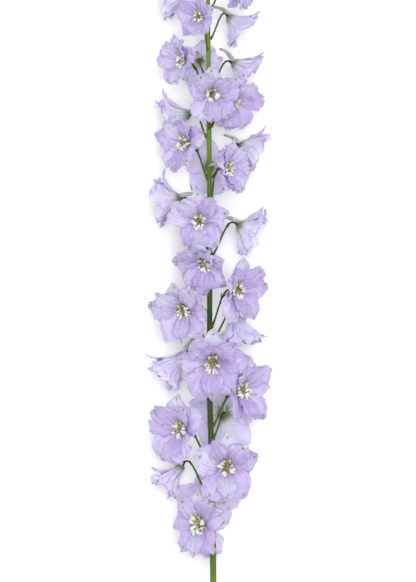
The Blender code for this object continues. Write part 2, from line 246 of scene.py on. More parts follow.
# Rods: radius at each place from base to tip
PEDICEL_PROFILE = (
    (0, 1.5), (0.03, 1.2), (0.08, 1.0), *((0.08 + 0.8 * i / 12, 0.9) for i in range(1, 13)),
    (0.93, 1.15), (0.965, 1.7), (1.0, 2.3),
)
SPUR_PROFILE = (
    (0, 1.35), (0.1, 1.2), (0.25, 1.08), (0.4, 1.02), (0.55, 0.95), (0.68, 0.86), (0.8, 0.72),
    (0.9, 0.6), (0.96, 0.5), (1.0, 0.25),
)
STAMEN_PROFILE = (
    (0, 0.3), (0.3, 0.22), (0.6, 0.17), (0.8, 0.15), (0.82, 0.38), (0.9, 0.48), (0.97, 0.36),
    (1.0, 0.15),
)
ANTHER_FOOT = 0.81
CARPEL_PROFILE = ((0, 0.6), (0.3, 0.75), (0.6, 0.6), (0.8, 0.3), (1.0, 0.12))
BUD_PROFILE = (
    (0, 0.14), (0.04, 0.2), (0.1, 0.26), (0.2, 0.31), (0.35, 0.34), (0.5, 0.335), (0.65, 0.29),
    (0.78, 0.21), (0.88, 0.13), (0.95, 0.07), (1.0, 0.03),
)
HORN_PROFILE = ((0, 0.9), (0.3, 0.8), (0.6, 0.7), (0.9, 0.5), (1.0, 0.2))

# Flower centres: shortest and longest limbs, blades and stamens, turns of the limbs with their
# forks, then the throat's blades as (turn, length, width)
LIMB_LENGTHS = (6.5, 9.5)
BLADE_LENGTHS = (6.0, 8.5)
STAMEN_LENGTHS = (5.2, 7.6)
CARPEL_LENGTH = 6.0
LIMB_TURNS = (160, 196, 232, 270, 308, 344, 20)
LIMB_FORKS = (-13, 0, 13)
THROAT_BLADES = ((90, 11.0, 0.75), (83, 7.0, 1.3), (98, 6.5, 1.3))

# How much steeper a flower's centre stands for each degree that its sepals close, and the
# closing at which it would have no room for a centre
SHUT = 4
CLOSED = 50

# Seeds of what differs from flower to flower
SEPAL_SEEDS = (1000, 10)
SPUR_SEED = 77
HEART_SEED = 500

# Light in the flesh of a sepal, which spreads almost alike in all colours so that it stays lilac
SAP = {
    "subsurface_weight": 0.3,
    "subsurface_scale": 0.002,
    "subsurface_radius": (1.0, 0.9, 1.0),
}

# Edges with a wider angle between their faces stay sharp
SHARP = 60

# Stage, in metres apart from the camera's sensor and the length of spike that the photograph shows
FLOOR_SIZE = 12
FLOOR_LEVEL = -0.0002
LIGHT_PLACE = (0.12, 0.16, 2.4)
LIGHT_SIZE = 1.0
SENSOR = 36
FAR = 20
PHOTO_LENGTH = 436.5
PHOTO_MIDDLE = PHOTO_LENGTH / 2 - CENTRE_Y


class Look(NamedTuple):
    """How one sepal differs from the plain one."""

    cup: float
    ruffle: float
    waves: float
    phase: float
    pleat: float
    folds: float
    sway: float
    twist: float
    tilt: float
    curl: float
    width: float
    length: float
    offset: float
    tone: float
    spot: float


# Shape of the frame, as in the CAD


def value_at(points, at):
    """Value on the straight lines between (place, value) points."""
    for (a, low), (b, high) in zip(points, points[1:]):
        if at <= b:
            return low + (high - low) * (at - a) / (b - a)
    return points[-1][1]


def values_at(points, at):
    """The same for an array of places."""
    return np.interp(at, [p[0] for p in points], [p[1] for p in points])


def steps_to_one(count):
    """Shares from 0 to 1 in equal steps."""
    return [i / count for i in range(count + 1)]


def stem_axis(height):
    """Place on the stem's axis at a height."""
    return Vector((value_at(STEM_DRIFT, height) - CENTRE_X, height - CENTRE_Y, AXIS_UP))


def outwards(around):
    """Direction away from the stem at an angle around it, 0 being up from the surface."""
    turn = math.radians(around)
    return Vector((math.sin(turn), 0, math.cos(turn)))


def hermite(start, start_pull, end, end_pull, t):
    """A place on a curve, from how strongly its ends are pulled."""
    return (
        start * (2 * t**3 - 3 * t**2 + 1)
        + start_pull * (t**3 - 2 * t**2 + t)
        + end * (3 * t**2 - 2 * t**3)
        + end_pull * (t**3 - t**2)
    )


def square_to(side, direction):
    """What is left of one direction square to another."""
    return (side - direction * side.dot(direction)).normalized()


def circle(centre, side, direction, radius, count, first=90.0):
    """Points of a ring around a direction, the first at an angle from its side."""
    other = direction.cross(side)
    turns = (math.radians(first + 360 * i / count) for i in range(count))
    return [centre + (side * math.cos(t) + other * math.sin(t)) * radius for t in turns]


def frame_of(flower):
    """The flower's own axes and receptacle: X across, Y towards its spurred sepal, Z ahead."""
    ahead = outwards(flower.facing) * math.cos(math.radians(flower.lift))
    ahead += ALONG * math.sin(math.radians(flower.lift))
    up = square_to(ALONG, ahead)
    up = Matrix.Rotation(math.radians(flower.roll), 3, ahead) @ up
    across = up.cross(ahead)
    centre = stem_axis(flower.height) + outwards(flower.around) * flower.reach
    axes = Matrix((across, up, ahead)).transposed().to_4x4()
    axes.translation = centre
    return axes


def hub_ring(flower, axes, ring, sides=HUB_SIDES):
    """Points of a ring around a flower's receptacle."""
    radius, front = (flower.size * value for value in ring)
    first = 90.0 - 180.0 / HUB_SIDES if sides == HUB_SIDES else 90.0
    flat = circle(Vector((0, 0, front)), Vector((1, 0, 0)), UP, radius, sides, first)
    return [axes @ point for point in flat]


def foot_height(flower, shift):
    """Height at which a flower's pedicel leaves the stem."""
    return flower.height - FOOT_BACK * flower.reach + shift[0]


def pedicel_path(flower, axes, shift, steps):
    """Places of a pedicel from the stem's surface to just behind the hub, and its first way."""
    low = foot_height(flower, shift)
    out = outwards(flower.around + shift[1])
    start = stem_axis(low) + out * (value_at(STEM_RADII, low) + GAP)
    end = axes @ Vector((0, 0, HUB_BACK[1] * flower.size))
    span = (end - start).length
    start_pull = (out * 0.6 + ALONG * 0.8) * span
    end_pull = axes.col[2].xyz * span * 0.9
    return out, [hermite(start, start_pull, end, end_pull, t) for t in steps_to_one(steps)]


def pedicel_loops(flower, axes, shift, spare=0.0):
    """Rings of a pedicel's solid from the flower down, wider by a spare gap."""
    out, path = pedicel_path(flower, axes, shift, PEDICEL_STEPS)
    directions = [out] + [(after - before).normalized() for before, after in zip(path, path[2:])]
    loops, side = [], axes.col[0].xyz
    for point, direction in reversed(list(zip(path, directions))):
        side = square_to(side, direction)
        loops.append(circle(point, side, direction, PEDICEL_RADIUS + spare, PEDICEL_SIDES))
    return loops


def spur_loops(flower, axes, shift, spare=0.0):
    """Rings of a spur's solid, wider by a spare gap."""
    size, loops = flower.size, []
    for place, direction, radius in spur_path(flower, shift):
        side = square_to(Vector((1, 0, 0)), direction)
        ring = circle(place * size, side, direction, radius * size + spare, SPUR_SIDES, 45.0)
        loops.append([axes @ point for point in ring])
    return loops


def spur_path(flower, shift):
    """Place, way and radius of each ring of a spur in its flower's frame."""
    turn = Matrix.Rotation(math.radians(shift[1]), 3, "Z")
    place, rings = Vector(SPUR_ROOT), []
    for i, radius in enumerate(SPUR_RADII):
        angle = math.radians(SPUR_RISE - SPUR_BEND * i + shift[0] - flower.droop)
        direction = turn @ Vector((0, math.sin(angle), -math.cos(angle)))
        place = place + direction * SPUR_LENGTH / len(SPUR_RADII)
        rings.append((place, direction, radius))
    return rings


def neck_and_pedicel(flower, axes, shift, spare=0.0):
    """The pedicel's loops with the one where it meets the back of the hub."""
    back = hub_ring(flower, axes, HUB_BACK, PEDICEL_SIDES)
    return [back] + pedicel_loops(flower, axes, shift, spare)


def root_and_spur(flower, axes, shift, spare=0.0):
    """The spur's loops with the one that it grows from."""
    back, low = hub_ring(flower, axes, HUB_BACK), hub_ring(flower, axes, HUB_LOW)
    return [[back[0], back[1], low[1], low[0]]] + spur_loops(flower, axes, shift, spare)


def spokes(axes, turn):
    """Directions out from a flower's axis and around it, at a turn about it."""
    turn, own = math.radians(turn), axes.to_3x3()
    radial = own @ Vector((math.cos(turn), math.sin(turn), 0))
    return radial, own @ Vector((-math.sin(turn), math.cos(turn), 0))


def sepal_spokes(axes, face, swing):
    """The same for the sepal of a hub face."""
    return spokes(axes, 90 + 360 / HUB_SIDES * face + swing)


def midrib(flower, axes, whorl, face, shape):
    """Points and front normals of a sepal's middle line, which lies down where it meets the
    surface."""
    length, bend, swing = shape
    radial, ahead = sepal_spokes(axes, face, swing)[0], axes.col[2].xyz
    step = whorl.length * flower.size * length / SEPAL_STEPS
    place = axes @ (Vector((0, 0, whorl.root[1])) * flower.size)
    place = place + radial * whorl.root[0] * flower.size
    line, facing_up = [], 0
    for along in steps_to_one(SEPAL_STEPS):
        angle = whorl.angle_in + (whorl.angle_out - whorl.angle_in) * along
        angle = math.radians(angle + flower.closing + bend * min(1, 2 * along))
        direction = radial * math.cos(angle) + ahead * math.sin(angle)
        normal = ahead * math.cos(angle) - radial * math.sin(angle)
        line.append((place, normal))
        place = place + direction * step
        if place.z < SEPAL_THICKNESS / 2:
            flat = Vector((direction.x, direction.y, 0)).normalized()
            place = line[-1][0] + flat * step
            place.z = SEPAL_THICKNESS / 2
            facing_up = facing_up or math.copysign(1, normal.z)
            line[-1] = (line[-1][0], UP * facing_up)
    return line


def sepal_loops(flower, axes, whorl, face, shape, spare=0.0):
    """Cross-sections of a sepal's solid, wider by a spare gap."""
    line = midrib(flower, axes, whorl, face, shape)
    sideways = sepal_spokes(axes, face, shape[2])[1]
    thick = SEPAL_THICKNESS / 2 + spare
    loops = []
    for along, width in SEPAL_ROWS:
        place, normal = line[round(along * SEPAL_STEPS)]
        half = whorl.half_width * flower.size * width * (0.5 + 0.5 * shape[0])
        half = min(half, off_axis(axes, place) * ROOM_ACROSS) + spare
        row = []
        for column in whorl.columns:
            cup = whorl.cup * flower.size * (column**2 - 0.5) * width
            point = place + sideways * half * column + normal * cup
            point.z = max(point.z, thick)
            row.append(point)
        loops.append([p - normal * thick for p in row] + [p + normal * thick for p in row][::-1])
    return loops


def off_axis(axes, place):
    """Distance of a place from the flower's axis."""
    from_centre = place - axes.translation
    return from_centre.cross(axes.col[2].xyz).length


def base_loop(flower, axes, whorl, face):
    """Loop around the hub face that a sepal grows from, with a point for each column."""
    low, high = (HUB_LOW, HUB_MID) if whorl is OUTER else (HUB_MID, HUB_TOP)
    back, front = hub_ring(flower, axes, low), hub_ring(flower, axes, high)
    after = (face + 1) % HUB_SIDES
    back_row = [back[face].lerp(back[after], (column + 1) / 2) for column in whorl.columns]
    front_row = [front[face].lerp(front[after], (column + 1) / 2) for column in whorl.columns]
    return back_row + front_row[::-1]


def tree_around(loops):
    """The closed surface around loops that all have the same number of points, for overlaps."""
    count = len(loops[0])
    points = [point for loop in loops for point in loop]
    faces = [tuple(range(count)), tuple(range(len(points) - count, len(points)))]
    for ring in range(len(loops) - 1):
        low = ring * count
        for i in range(count):
            j = (i + 1) % count
            faces.append((low + i, low + j, low + count + j, low + count + i))
    return BVHTree.FromPolygons(points, faces)


class Obstacles:
    """What has been placed so far, for finding shapes that are clear of it."""

    def __init__(self):
        self.placed = []

    def add(self, centre, loops, owner=None):
        self.placed.append((centre, tree_around(loops), owner))

    def clear(self, centre, loops, owner):
        tree = tree_around(loops)
        for other_centre, other, other_owner in self.placed:
            if owner == other_owner:
                continue
            near = other_centre is None or (centre - other_centre).length < NEIGHBOUR_REACH
            if near and tree.overlap(other):
                return False
        return True


@functools.cache
def settle_all():
    """For each flower, its axes, pedicel, spur and sepals in shapes that are clear of the rest."""
    obstacles = Obstacles()
    stem = []
    for i in range(OBSTACLE_STEPS + 1):
        height = STEM_CUT + (STEM_TOP - STEM_CUT) * i / OBSTACLE_STEPS
        radius = value_at(STEM_RADII, height)
        stem.append(circle(stem_axis(height), Vector((1, 0, 0)), ALONG, radius, OBSTACLE_SIDES))
    obstacles.add(None, stem)
    settled = [{"axes": frame_of(flower)} for flower in FLOWERS]
    order = sorted(range(len(FLOWERS)), key=lambda i: -settled[i]["axes"].translation.z)
    rings = (HUB_BACK, HUB_LOW, HUB_MID, HUB_TOP, HUB_BOSS)
    for i in order:
        axes = settled[i]["axes"]
        obstacles.add(axes.translation, [hub_ring(FLOWERS[i], axes, ring) for ring in rings], i)
    for kind, loops, choices in (
        ("pedicel", neck_and_pedicel, SETTLE_FEET),
        ("spur", root_and_spur, SETTLE_SPURS),
    ):
        for i in order:
            settle_piece(obstacles, settled, i, kind, choices, loops)
    shapes = [(a, b, c) for a in SETTLE_LENGTHS for b in SETTLE_BENDS for c in SETTLE_SWINGS]
    for whorl in (OUTER, INNER):
        for i in order:
            for face in whorl.faces:
                settle_piece(obstacles, settled, i, (whorl, face), shapes, free_loops(whorl, face))
    return settled


def settle_piece(obstacles, settled, i, kind, choices, make_loops):
    """Takes the first choice that is clear of what is placed, or the first of all if none is. Its
    own flower's hub, pedicel and spur don't count for a piece, while all other sepals do."""
    flower, axes = FLOWERS[i], settled[i]["axes"]
    owner = i if isinstance(kind, str) else None
    chosen = choices[0]
    for choice in choices:
        if obstacles.clear(axes.translation, make_loops(flower, axes, choice, GAP), i):
            chosen = choice
            break
    obstacles.add(axes.translation, make_loops(flower, axes, chosen, 0.0), owner)
    settled[i][kind] = chosen


def free_loops(whorl, face):
    """A function for the loops of a sepal without the first stretch out of its hub."""

    def loops_of(flower, axes, shape, spare):
        rows = sepal_loops(flower, axes, whorl, face, shape, spare)
        base = base_loop(flower, axes, whorl, face)
        return [[low.lerp(high, 0.3) for low, high in zip(base, rows[0])]] + rows

    return loops_of


def bud_at(i):
    """Share of the way up the buds, then the height, reach and length of one."""
    share = i / (BUDS - 1)
    spans = (BUD_HEIGHTS, BUD_REACHES, BUD_LENGTHS)
    return share, *(low + (high - low) * share for low, high in spans)


# Blanks and what is done with them


def deselect():
    if bpy.context.object and bpy.context.object.mode != "OBJECT":
        bpy.ops.object.mode_set(mode="OBJECT")
    bpy.ops.object.select_all(action="DESELECT")


def select(*things):
    """Selects some objects and nothing else, the first being the active one."""
    deselect()
    for thing in things:
        thing.select_set(True)
    bpy.context.view_layer.objects.active = things[0]


def choose_points(thing, test):
    """Selects the points of an edited mesh whose place passes a test."""
    work = bmesh.from_edit_mesh(thing.data)
    for point in work.verts:
        point.select_set(bool(test(point.co)))
    work.select_flush_mode()
    bmesh.update_edit_mesh(thing.data)


def choose_faces(thing, test):
    """Selects the faces of an edited mesh that pass a test."""
    work = bmesh.from_edit_mesh(thing.data)
    for face in work.faces:
        face.select_set(bool(test(face)))
    bmesh.update_edit_mesh(thing.data)


def sheet_blank(name, columns, rows, outline, materials, notch=0.0):
    """A petal-like sheet with an outline, its tip drawn in by a notch if it has one."""
    deselect()
    bpy.ops.mesh.primitive_grid_add(x_subdivisions=columns, y_subdivisions=rows, size=2)
    sheet = bpy.context.object
    sheet.name = name
    bpy.ops.object.mode_set(mode="EDIT")
    bpy.ops.mesh.select_all(action="SELECT")
    bpy.ops.transform.resize(value=(1, 0.5, 1), center_override=(0, -1, 0))
    bpy.ops.transform.translate(value=(0, 1, 0))
    heights = sorted({round(v.co.y, 4) for v in bmesh.from_edit_mesh(sheet.data).verts})
    bpy.ops.mesh.select_mode(type="VERT")
    for height in heights:
        choose_points(sheet, lambda co: abs(co.y - height) < 1e-3)
        width = value_at(outline, height)
        bpy.ops.transform.resize(value=(width, 1, 1), center_override=(0, height, 0))
    bpy.ops.object.mode_set(mode="OBJECT")
    if notch:
        for point in sheet.data.vertices:
            share = max(0, 1 - abs(point.co.x) / 0.3) * smooth(point.co.y, 1 - 3 * notch, 1.0)
            point.co.y -= notch * share
    finish_blank(sheet, materials, lambda x, y, z: ((x / value_at(outline, y) + 1) / 2, y))
    return sheet


def tube_blank(name, sides, profile, materials, cut=None):
    """A closed tube of unit length with a radius at each (place, radius) of its profile. Faces
    past the cut get the second material."""
    deselect()
    bpy.ops.mesh.primitive_circle_add(
        vertices=sides, radius=profile[0][1], fill_type="NGON", rotation=(math.pi / 2, 0, 0)
    )
    tube = bpy.context.object
    tube.name = name
    bpy.ops.object.transform_apply(rotation=True)
    bpy.ops.object.mode_set(mode="EDIT")
    bpy.ops.mesh.select_all(action="SELECT")
    for (before, narrow), (after, wide) in zip(profile, profile[1:]):
        bpy.ops.mesh.extrude_region_move(TRANSFORM_OT_translate={"value": (0, after - before, 0)})
        grow = wide / narrow
        bpy.ops.transform.resize(value=(grow, 1, grow), center_override=(0, after, 0))
    bpy.ops.mesh.select_all(action="SELECT")
    bpy.ops.mesh.normals_make_consistent(inside=False)
    bpy.ops.object.mode_set(mode="OBJECT")
    finish_blank(tube, materials, lambda x, y, z: (math.atan2(z, x) / math.tau + 0.5, y))
    if cut is not None:
        for face in tube.data.polygons:
            face.material_index = int(face.center.y > cut)
    return tube


def finish_blank(thing, materials, flat_place):
    """Gives a blank its materials, and a UV map from the place of each of its points."""
    mesh = thing.data
    for material in materials:
        mesh.materials.append(material)
    for layer in list(mesh.uv_layers):
        mesh.uv_layers.remove(layer)
    layer = mesh.uv_layers.new(name="UVMap")
    for loop in mesh.loops:
        x, y, z = mesh.vertices[loop.vertex_index].co
        layer.uv[loop.index].vector = flat_place(x, y, z)
    for name in ("tone", "spot"):
        mesh.attributes.new(name, "FLOAT", "POINT")


def points_of(thing):
    """Places of a mesh's points, one row each."""
    points = np.empty(len(thing.data.vertices) * 3)
    thing.data.vertices.foreach_get("co", points)
    return points.reshape(-1, 3)


def copy_of(blank, points, tone=0.5, spot=0.0):
    """A copy of a blank with its own mesh, whose points lie in the given places, in millimetres."""
    thing = blank.copy()
    thing.data = blank.data.copy()
    bpy.context.scene.collection.objects.link(thing)
    points = points.copy()
    points[:, 2] = np.maximum(points[:, 2], CLEAR)
    thing.data.vertices.foreach_set("co", (points * MM).astype(np.float32).ravel())
    for name, value in (("tone", tone), ("spot", spot)):
        values = np.full(len(points), value, np.float32)
        thing.data.attributes[name].data.foreach_set("value", values)
    return thing


def joined(name, things):
    """One piece of several copies."""
    select(*things)
    if len(things) > 1:
        bpy.ops.object.join()
    things[0].name = name
    things[0].data.name = name
    return things[0]


def thickened(piece, thickness):
    """Gives a sheet its wall, with the second material on its back."""
    select(piece)
    wall = piece.modifiers.new("wall", "SOLIDIFY")
    wall.thickness = thickness * MM
    wall.offset = 0
    wall.material_offset = 1
    bpy.ops.object.modifier_apply(modifier=wall.name)
    return piece


def placed(piece, slot, *nodes):
    """Smooths a finished piece, and puts it on the frame's body in place of CAD nodes."""
    select(piece)
    bpy.ops.object.shade_smooth_by_angle(angle=math.radians(SHARP))
    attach(piece, BODY)
    if nodes:
        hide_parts(*nodes)


def remove(*things):
    for thing in things:
        bpy.data.objects.remove(thing)


# Ribs, and laying blanks along them


class Rib:
    """Places along a line, with the directions across a piece and off its front at each."""

    def __init__(self, places, sides, fronts, along=None):
        self.places, self.sides, self.fronts = (
            np.array([tuple(v) for v in rows]) for rows in (places, sides, fronts)
        )
        self.along = np.linspace(0, 1, len(self.places)) if along is None else along

    def at(self, rows, along):
        return np.stack([np.interp(along, self.along, rows[:, i]) for i in range(3)], axis=1)

    def lay(self, across, along, off):
        """Places of points given by how far they are across, along (0 to 1) and off the rib."""
        place = self.at(self.places, along)
        side, front = self.at(self.sides, along), self.at(self.fronts, along)
        return place + side * across[:, None] + front * off[:, None]


def rib_through(places, side):
    """A rib through places, its side kept as it goes."""
    sides, fronts = [], []
    for i, place in enumerate(places):
        way = (places[min(i + 1, len(places) - 1)] - places[max(i - 1, 0)]).normalized()
        side = square_to(side, way)
        sides.append(side)
        fronts.append(side.cross(way))
    return Rib(places, sides, fronts)


def petal_rib(axes, size, turn, root, length, angles, steps=16, sway=0.0):
    """A rib that leaves a flower's centre at a turn about its axis, with its angle to the
    flower's plane given along it."""
    radial, sideways = spokes(axes, turn)
    side, ahead = -sideways, axes.col[2].xyz
    place = axes.translation + (radial * root[0] + ahead * root[1]) * size
    places, sides, fronts = [], [], []
    for along in steps_to_one(steps):
        angle = math.radians(value_at(angles, along))
        places.append(place)
        sides.append(side)
        fronts.append(ahead * math.cos(angle) - radial * math.sin(angle))
        way = radial * math.cos(angle) + ahead * math.sin(angle) + side * sway
        place = place + way.normalized() * length * size / steps
    return Rib(places, sides, fronts)


def laid_along(tube, rib, radius, tone=0.5):
    """A copy of a tube blank along a rib, its profile multiplied by a radius."""
    x, y, z = points_of(tube).T
    return copy_of(tube, rib.lay(x * radius, y, z * radius), tone)


def smooth(values, low, high):
    """0 to 1 as values go from low to high, with a soft start and end."""
    share = np.clip((values - low) / (high - low), 0, 1)
    return share * share * (3 - 2 * share)


# Finishes


class Value:
    """A shader socket that takes Python's arithmetic, each step adding a Math node."""

    def __init__(self, tree, socket):
        self.tree, self.socket = tree, socket

    def step(self, operation, *values):
        node = self.tree.nodes.new("ShaderNodeMath")
        node.operation = operation
        for socket, value in zip(node.inputs, values):
            plug(self.tree, socket, value)
        return Value(self.tree, node.outputs[0])

    def __add__(self, other):
        return self.step("ADD", self, other)

    def __radd__(self, other):
        return self.step("ADD", other, self)

    def __sub__(self, other):
        return self.step("SUBTRACT", self, other)

    def __rsub__(self, other):
        return self.step("SUBTRACT", other, self)

    def __mul__(self, other):
        return self.step("MULTIPLY", self, other)

    def __rmul__(self, other):
        return self.step("MULTIPLY", other, self)

    def __pow__(self, other):
        return self.step("POWER", self, other)

    def __abs__(self):
        return self.step("ABSOLUTE", self)

    def sine(self):
        return self.step("SINE", self)


def plug(tree, socket, value):
    """Gives a socket a link if the value is one, and a fixed value otherwise."""
    if isinstance(value, Value):
        tree.links.new(value.socket, socket)
    else:
        socket.default_value = value


class Finish:
    """A material, the nodes of its pattern, and the paint that they build up coat by coat. A
    colour is the name of a setting."""

    def __init__(self, settings, name, **fixed):
        self.settings = settings
        self.material = bpy.data.materials.new(name)
        self.material.use_nodes = True
        self.tree = self.material.node_tree
        self.surface = self.tree.nodes["Principled BSDF"]
        for name, value in fixed.items():
            socket = name.replace("_", " ").title().replace("Ior", "IOR")
            self.surface.inputs[socket].default_value = value

    def node(self, kind, settings, inputs, output=0):
        node = self.tree.nodes.new(kind)
        for name, value in settings.items():
            setattr(node, name, value)
        for name, value in inputs.items():
            plug(self.tree, node.inputs[name], value)
        return Value(self.tree, node.outputs[output])

    def flat(self):
        """Across (-1 to 1) and along (0 to 1), from the piece's UV map."""
        spot = self.node("ShaderNodeUVMap", {"uv_map": "UVMap"}, {}, "UV")
        across = self.node("ShaderNodeSeparateXYZ", {}, {0: spot}, 0)
        along = self.node("ShaderNodeSeparateXYZ", {}, {0: spot}, 1)
        return across * 2 - 1, along

    def own(self, name):
        """A number that each copy of a blank has of its own."""
        return self.node("ShaderNodeAttribute", {"attribute_name": name}, {}, "Fac")

    def noise(self, scale, detail=2.0, vector=None):
        vector = vector or self.node("ShaderNodeTexCoord", {}, {}, "Object")
        inputs = {"Vector": vector, "Scale": scale, "Detail": detail}
        return self.node("ShaderNodeTexNoise", {"noise_dimensions": "3D"}, inputs)

    def streaks(self, scale, detail, across, along, tone):
        """Noise that is drawn out along a sepal and differs from one to the next."""
        place = self.node("ShaderNodeCombineXYZ", {}, {0: across * 1.1, 1: along, 2: tone * 7})
        return self.noise(scale, detail, place)

    def between(self, value, low, high):
        """0 to 1 as a value goes from low to high, smoothly."""
        inputs = {"Value": value, "From Min": low, "From Max": high}
        return self.node("ShaderNodeMapRange", {"interpolation_type": "SMOOTHSTEP"}, inputs)

    def mix(self, share, first, second):
        node = self.tree.nodes.new("ShaderNodeMix")
        node.data_type = "RGBA"
        for socket, value in ((0, share), (6, first), (7, second)):
            if isinstance(value, str):
                value = getattr(self.settings, value)
            if socket and not isinstance(value, Value):
                value = (*value, 1)
            plug(self.tree, node.inputs[socket], value)
        return Value(self.tree, node.outputs[2])

    def ground(self, share, first, second):
        self.paint = self.mix(share, first, second)

    def coat(self, name, share):
        self.paint = self.mix(share, self.paint, name)

    def done(self, rough, height, distance, strength):
        """The material with its paint, its roughness and its relief, which is in metres."""
        inputs = {"Height": height, "Distance": distance, "Strength": strength}
        relief = self.node("ShaderNodeBump", {}, inputs)
        for name, value in (("Base Color", self.paint), ("Roughness", rough), ("Normal", relief)):
            plug(self.tree, self.surface.inputs[name], value)
        return self.material


def sepal_front(settings):
    """Lilac with a pink flush and violet margins. Its violet and white streaks are partly the sepal's
    own and partly painted shade and painted highlight of its folds, and its white base is partly
    painted light against the shade deep in the flower.
    """
    look = Finish(settings, "sepal_front", **SAP)
    across, along = look.flat()
    tone, spot = look.own("tone"), look.own("spot")
    cloud = look.noise(55.0, 3.0)
    look.ground(look.between(cloud * 0.8 + tone * 0.45, 0.4, 0.9), "lilac", "pale")
    streak = look.streaks(9.0, 2.0, across, along * 0.2, tone)
    low = look.between(along, 0.62, 0.1)
    look.coat("pink", low * look.between(streak, 0.34, 0.6) * 0.9)
    # Violet and white streaks: partly the sepal's own streaks, partly painted shade and painted
    # highlight of its folds
    look.coat("violet", look.between(streak, 0.55, 0.75) * 0.4)
    look.coat("white", look.between(streak, 0.52, 0.27) * 0.55)
    vein = look.between(vein_height(look, across), 0.6, 1.0)
    look.coat("violet", vein * look.between(along, 1.0, 0.4) * 0.22)
    look.coat("violet", look.between(abs(across), 0.84, 1.0) * 0.5)
    light = look.between(tone, 0.7, 0.95) * look.between(abs(across), 0.95, 0.35)
    look.coat("white", light * 0.65)
    # White towards the base: partly the sepal's own pale base, partly painted light that lifts the
    # shade deep in the flower
    look.coat("white", look.between(along, 0.26, 0.08) * 0.45)
    look.coat("throat", look.between(along, 0.13, 0.03) * 0.85)
    tip_spot(look, across, along, spot)
    folds = look.streaks(34.0, 3.0, across, along * 0.22, tone)
    height = vein_height(look, across) * 0.3 + folds * 3.0 + look.noise(1400.0, 2.0) * 0.2
    return look.done(look.between(cloud, 0.2, 0.8) * 0.12 + 0.5, height, 0.0006, 0.75)


def vein_height(look, across):
    """Veins that fan out from the base of a sepal."""
    return 1 - abs((across * 15 + look.noise(90.0, 2.0) * 3.2).sine())


def tip_spot(look, across, along, spot):
    """The green mark near the tip, in its pale halo."""
    ragged = look.noise(600.0, 2.0) * 0.5 - 0.25
    far = (across * across * 14 + (along - 0.88) * (along - 0.88) * 420) ** 0.5 + ragged
    look.coat("halo", look.between(far, 2.2, 0.5) * spot * 0.7)
    look.coat("mark", look.between(far, 1.15, 0.05) * spot * 0.9)


def sepal_back(settings):
    """Paler than the front, with green veins that run up from the receptacle."""
    look = Finish(settings, "sepal_back", **SAP)
    across, along = look.flat()
    tone, spot = look.own("tone"), look.own("spot")
    cloud = look.noise(70.0, 3.0)
    look.ground(look.between(cloud, 0.3, 0.7), "back", "pale")
    low, spurred = look.between(along, 0.62, 0.12), look.between(tone, 0.7, 0.95)
    look.coat("white", (low * 0.75 + spurred * 0.45) * look.between(abs(across), 0.95, 0.3))
    vein = look.between(vein_height(look, across), 0.7, 1.0)
    look.coat("violet", vein * (1 - low) * 0.22)
    rib = look.between(abs(across), 0.26, 0.04) * look.between(along, 1.0, 0.4)
    look.coat("halo", rib * 0.45)
    look.coat("spur_stripe", vein * low * 0.75)
    look.coat("halo", look.between(along, 0.4, 0.08) * 0.7)
    look.coat("calyx", look.between(along, 0.24, 0.06) * 0.9)
    look.coat("violet", look.between(abs(across), 0.86, 1.0) * 0.3)
    tip_spot(look, across, along, spot)
    folds = look.streaks(30.0, 3.0, across, along * 0.22, tone)
    height = vein_height(look, across) * 0.6 + folds * 2 + cloud
    return look.done(look.between(tone, 0.0, 1.0) * 0.1 + 0.52, height, 0.0004, 0.5)


def spur_finish(settings):
    """Dull green with lilac patches and darker stripes, and olive at the end."""
    look = Finish(settings, "spur_tissue", subsurface_weight=0.1, subsurface_scale=0.002)
    around, along = look.flat()
    cloud = look.noise(160.0, 3.0)
    look.ground(look.between(cloud, 0.4, 0.7) * 0.6, "spur", "back")
    stripe = look.between((around * 12.5 + cloud * 2).sine(), 0.3, 1.0) * 0.5
    look.coat("spur_stripe", stripe)
    look.coat("mark", look.between(along, 0.8, 1.0) * 0.7)
    height = look.noise(700.0, 3.0) + stripe
    return look.done(look.between(cloud, 0.2, 0.8) * 0.1 + 0.5, height, 0.0004, 0.6)


def bee_finish(settings, name, base):
    """Creamy white small petals with streaks of hair, in another colour towards their claws, which on
    the small petals is a yellowish white that is partly painted shade.
    """
    look = Finish(settings, name, subsurface_weight=0.15, subsurface_scale=0.0015)
    across, along = look.flat()
    cloud = look.noise(400.0, 3.0)
    look.ground(look.between(cloud, 0.4, 0.8), "bee", "cream_and_shade")
    # Towards the claws, deep in the flower: olive on the nectar petals, and on the small petals a
    # yellowish white that is partly their own colour and partly painted shade
    look.coat(base, look.between(along, 0.5, 0.1))
    hair = look.between((across * 26 + cloud * 5).sine(), 0.4, 1.0) * look.between(along, 0.5, 0.9)
    look.coat("hair", hair * 0.3)
    return look.done(look.between(cloud, 0.2, 0.8) * 0.1 + 0.55, cloud + hair, 0.0004, 0.7)


def plain_finish(settings, name, first, second, scale, relief, tip=None, **fixed):
    """Two colours in a cloudy pattern with a fine grain, and a third towards the tip if given."""
    look = Finish(settings, name, **fixed)
    cloud = look.noise(scale, 3.0)
    look.ground(look.between(cloud + look.own("tone") * 0.4, 0.4, 0.95), first, second)
    if tip:
        look.coat(tip, look.between(look.flat()[1], 0.45, 0.95))
    rough = look.between(cloud, 0.2, 0.8) * 0.12 + 0.5
    return look.done(rough, look.noise(scale * 6, 3.0), relief, 0.6)


def anther_finish(settings):
    """Ripe anthers are golden olive, and almost half are still brown."""
    look = Finish(settings, "anther")
    cloud = look.noise(700.0, 3.0)
    ripe = look.between(look.own("tone"), 0.42, 0.5)
    look.ground(ripe, "anther", look.mix(cloud * 0.4, "olive", "pollen"))
    return look.done(cloud * 0.2 + 0.5, look.noise(2500.0, 3.0), 0.0004, 0.6)


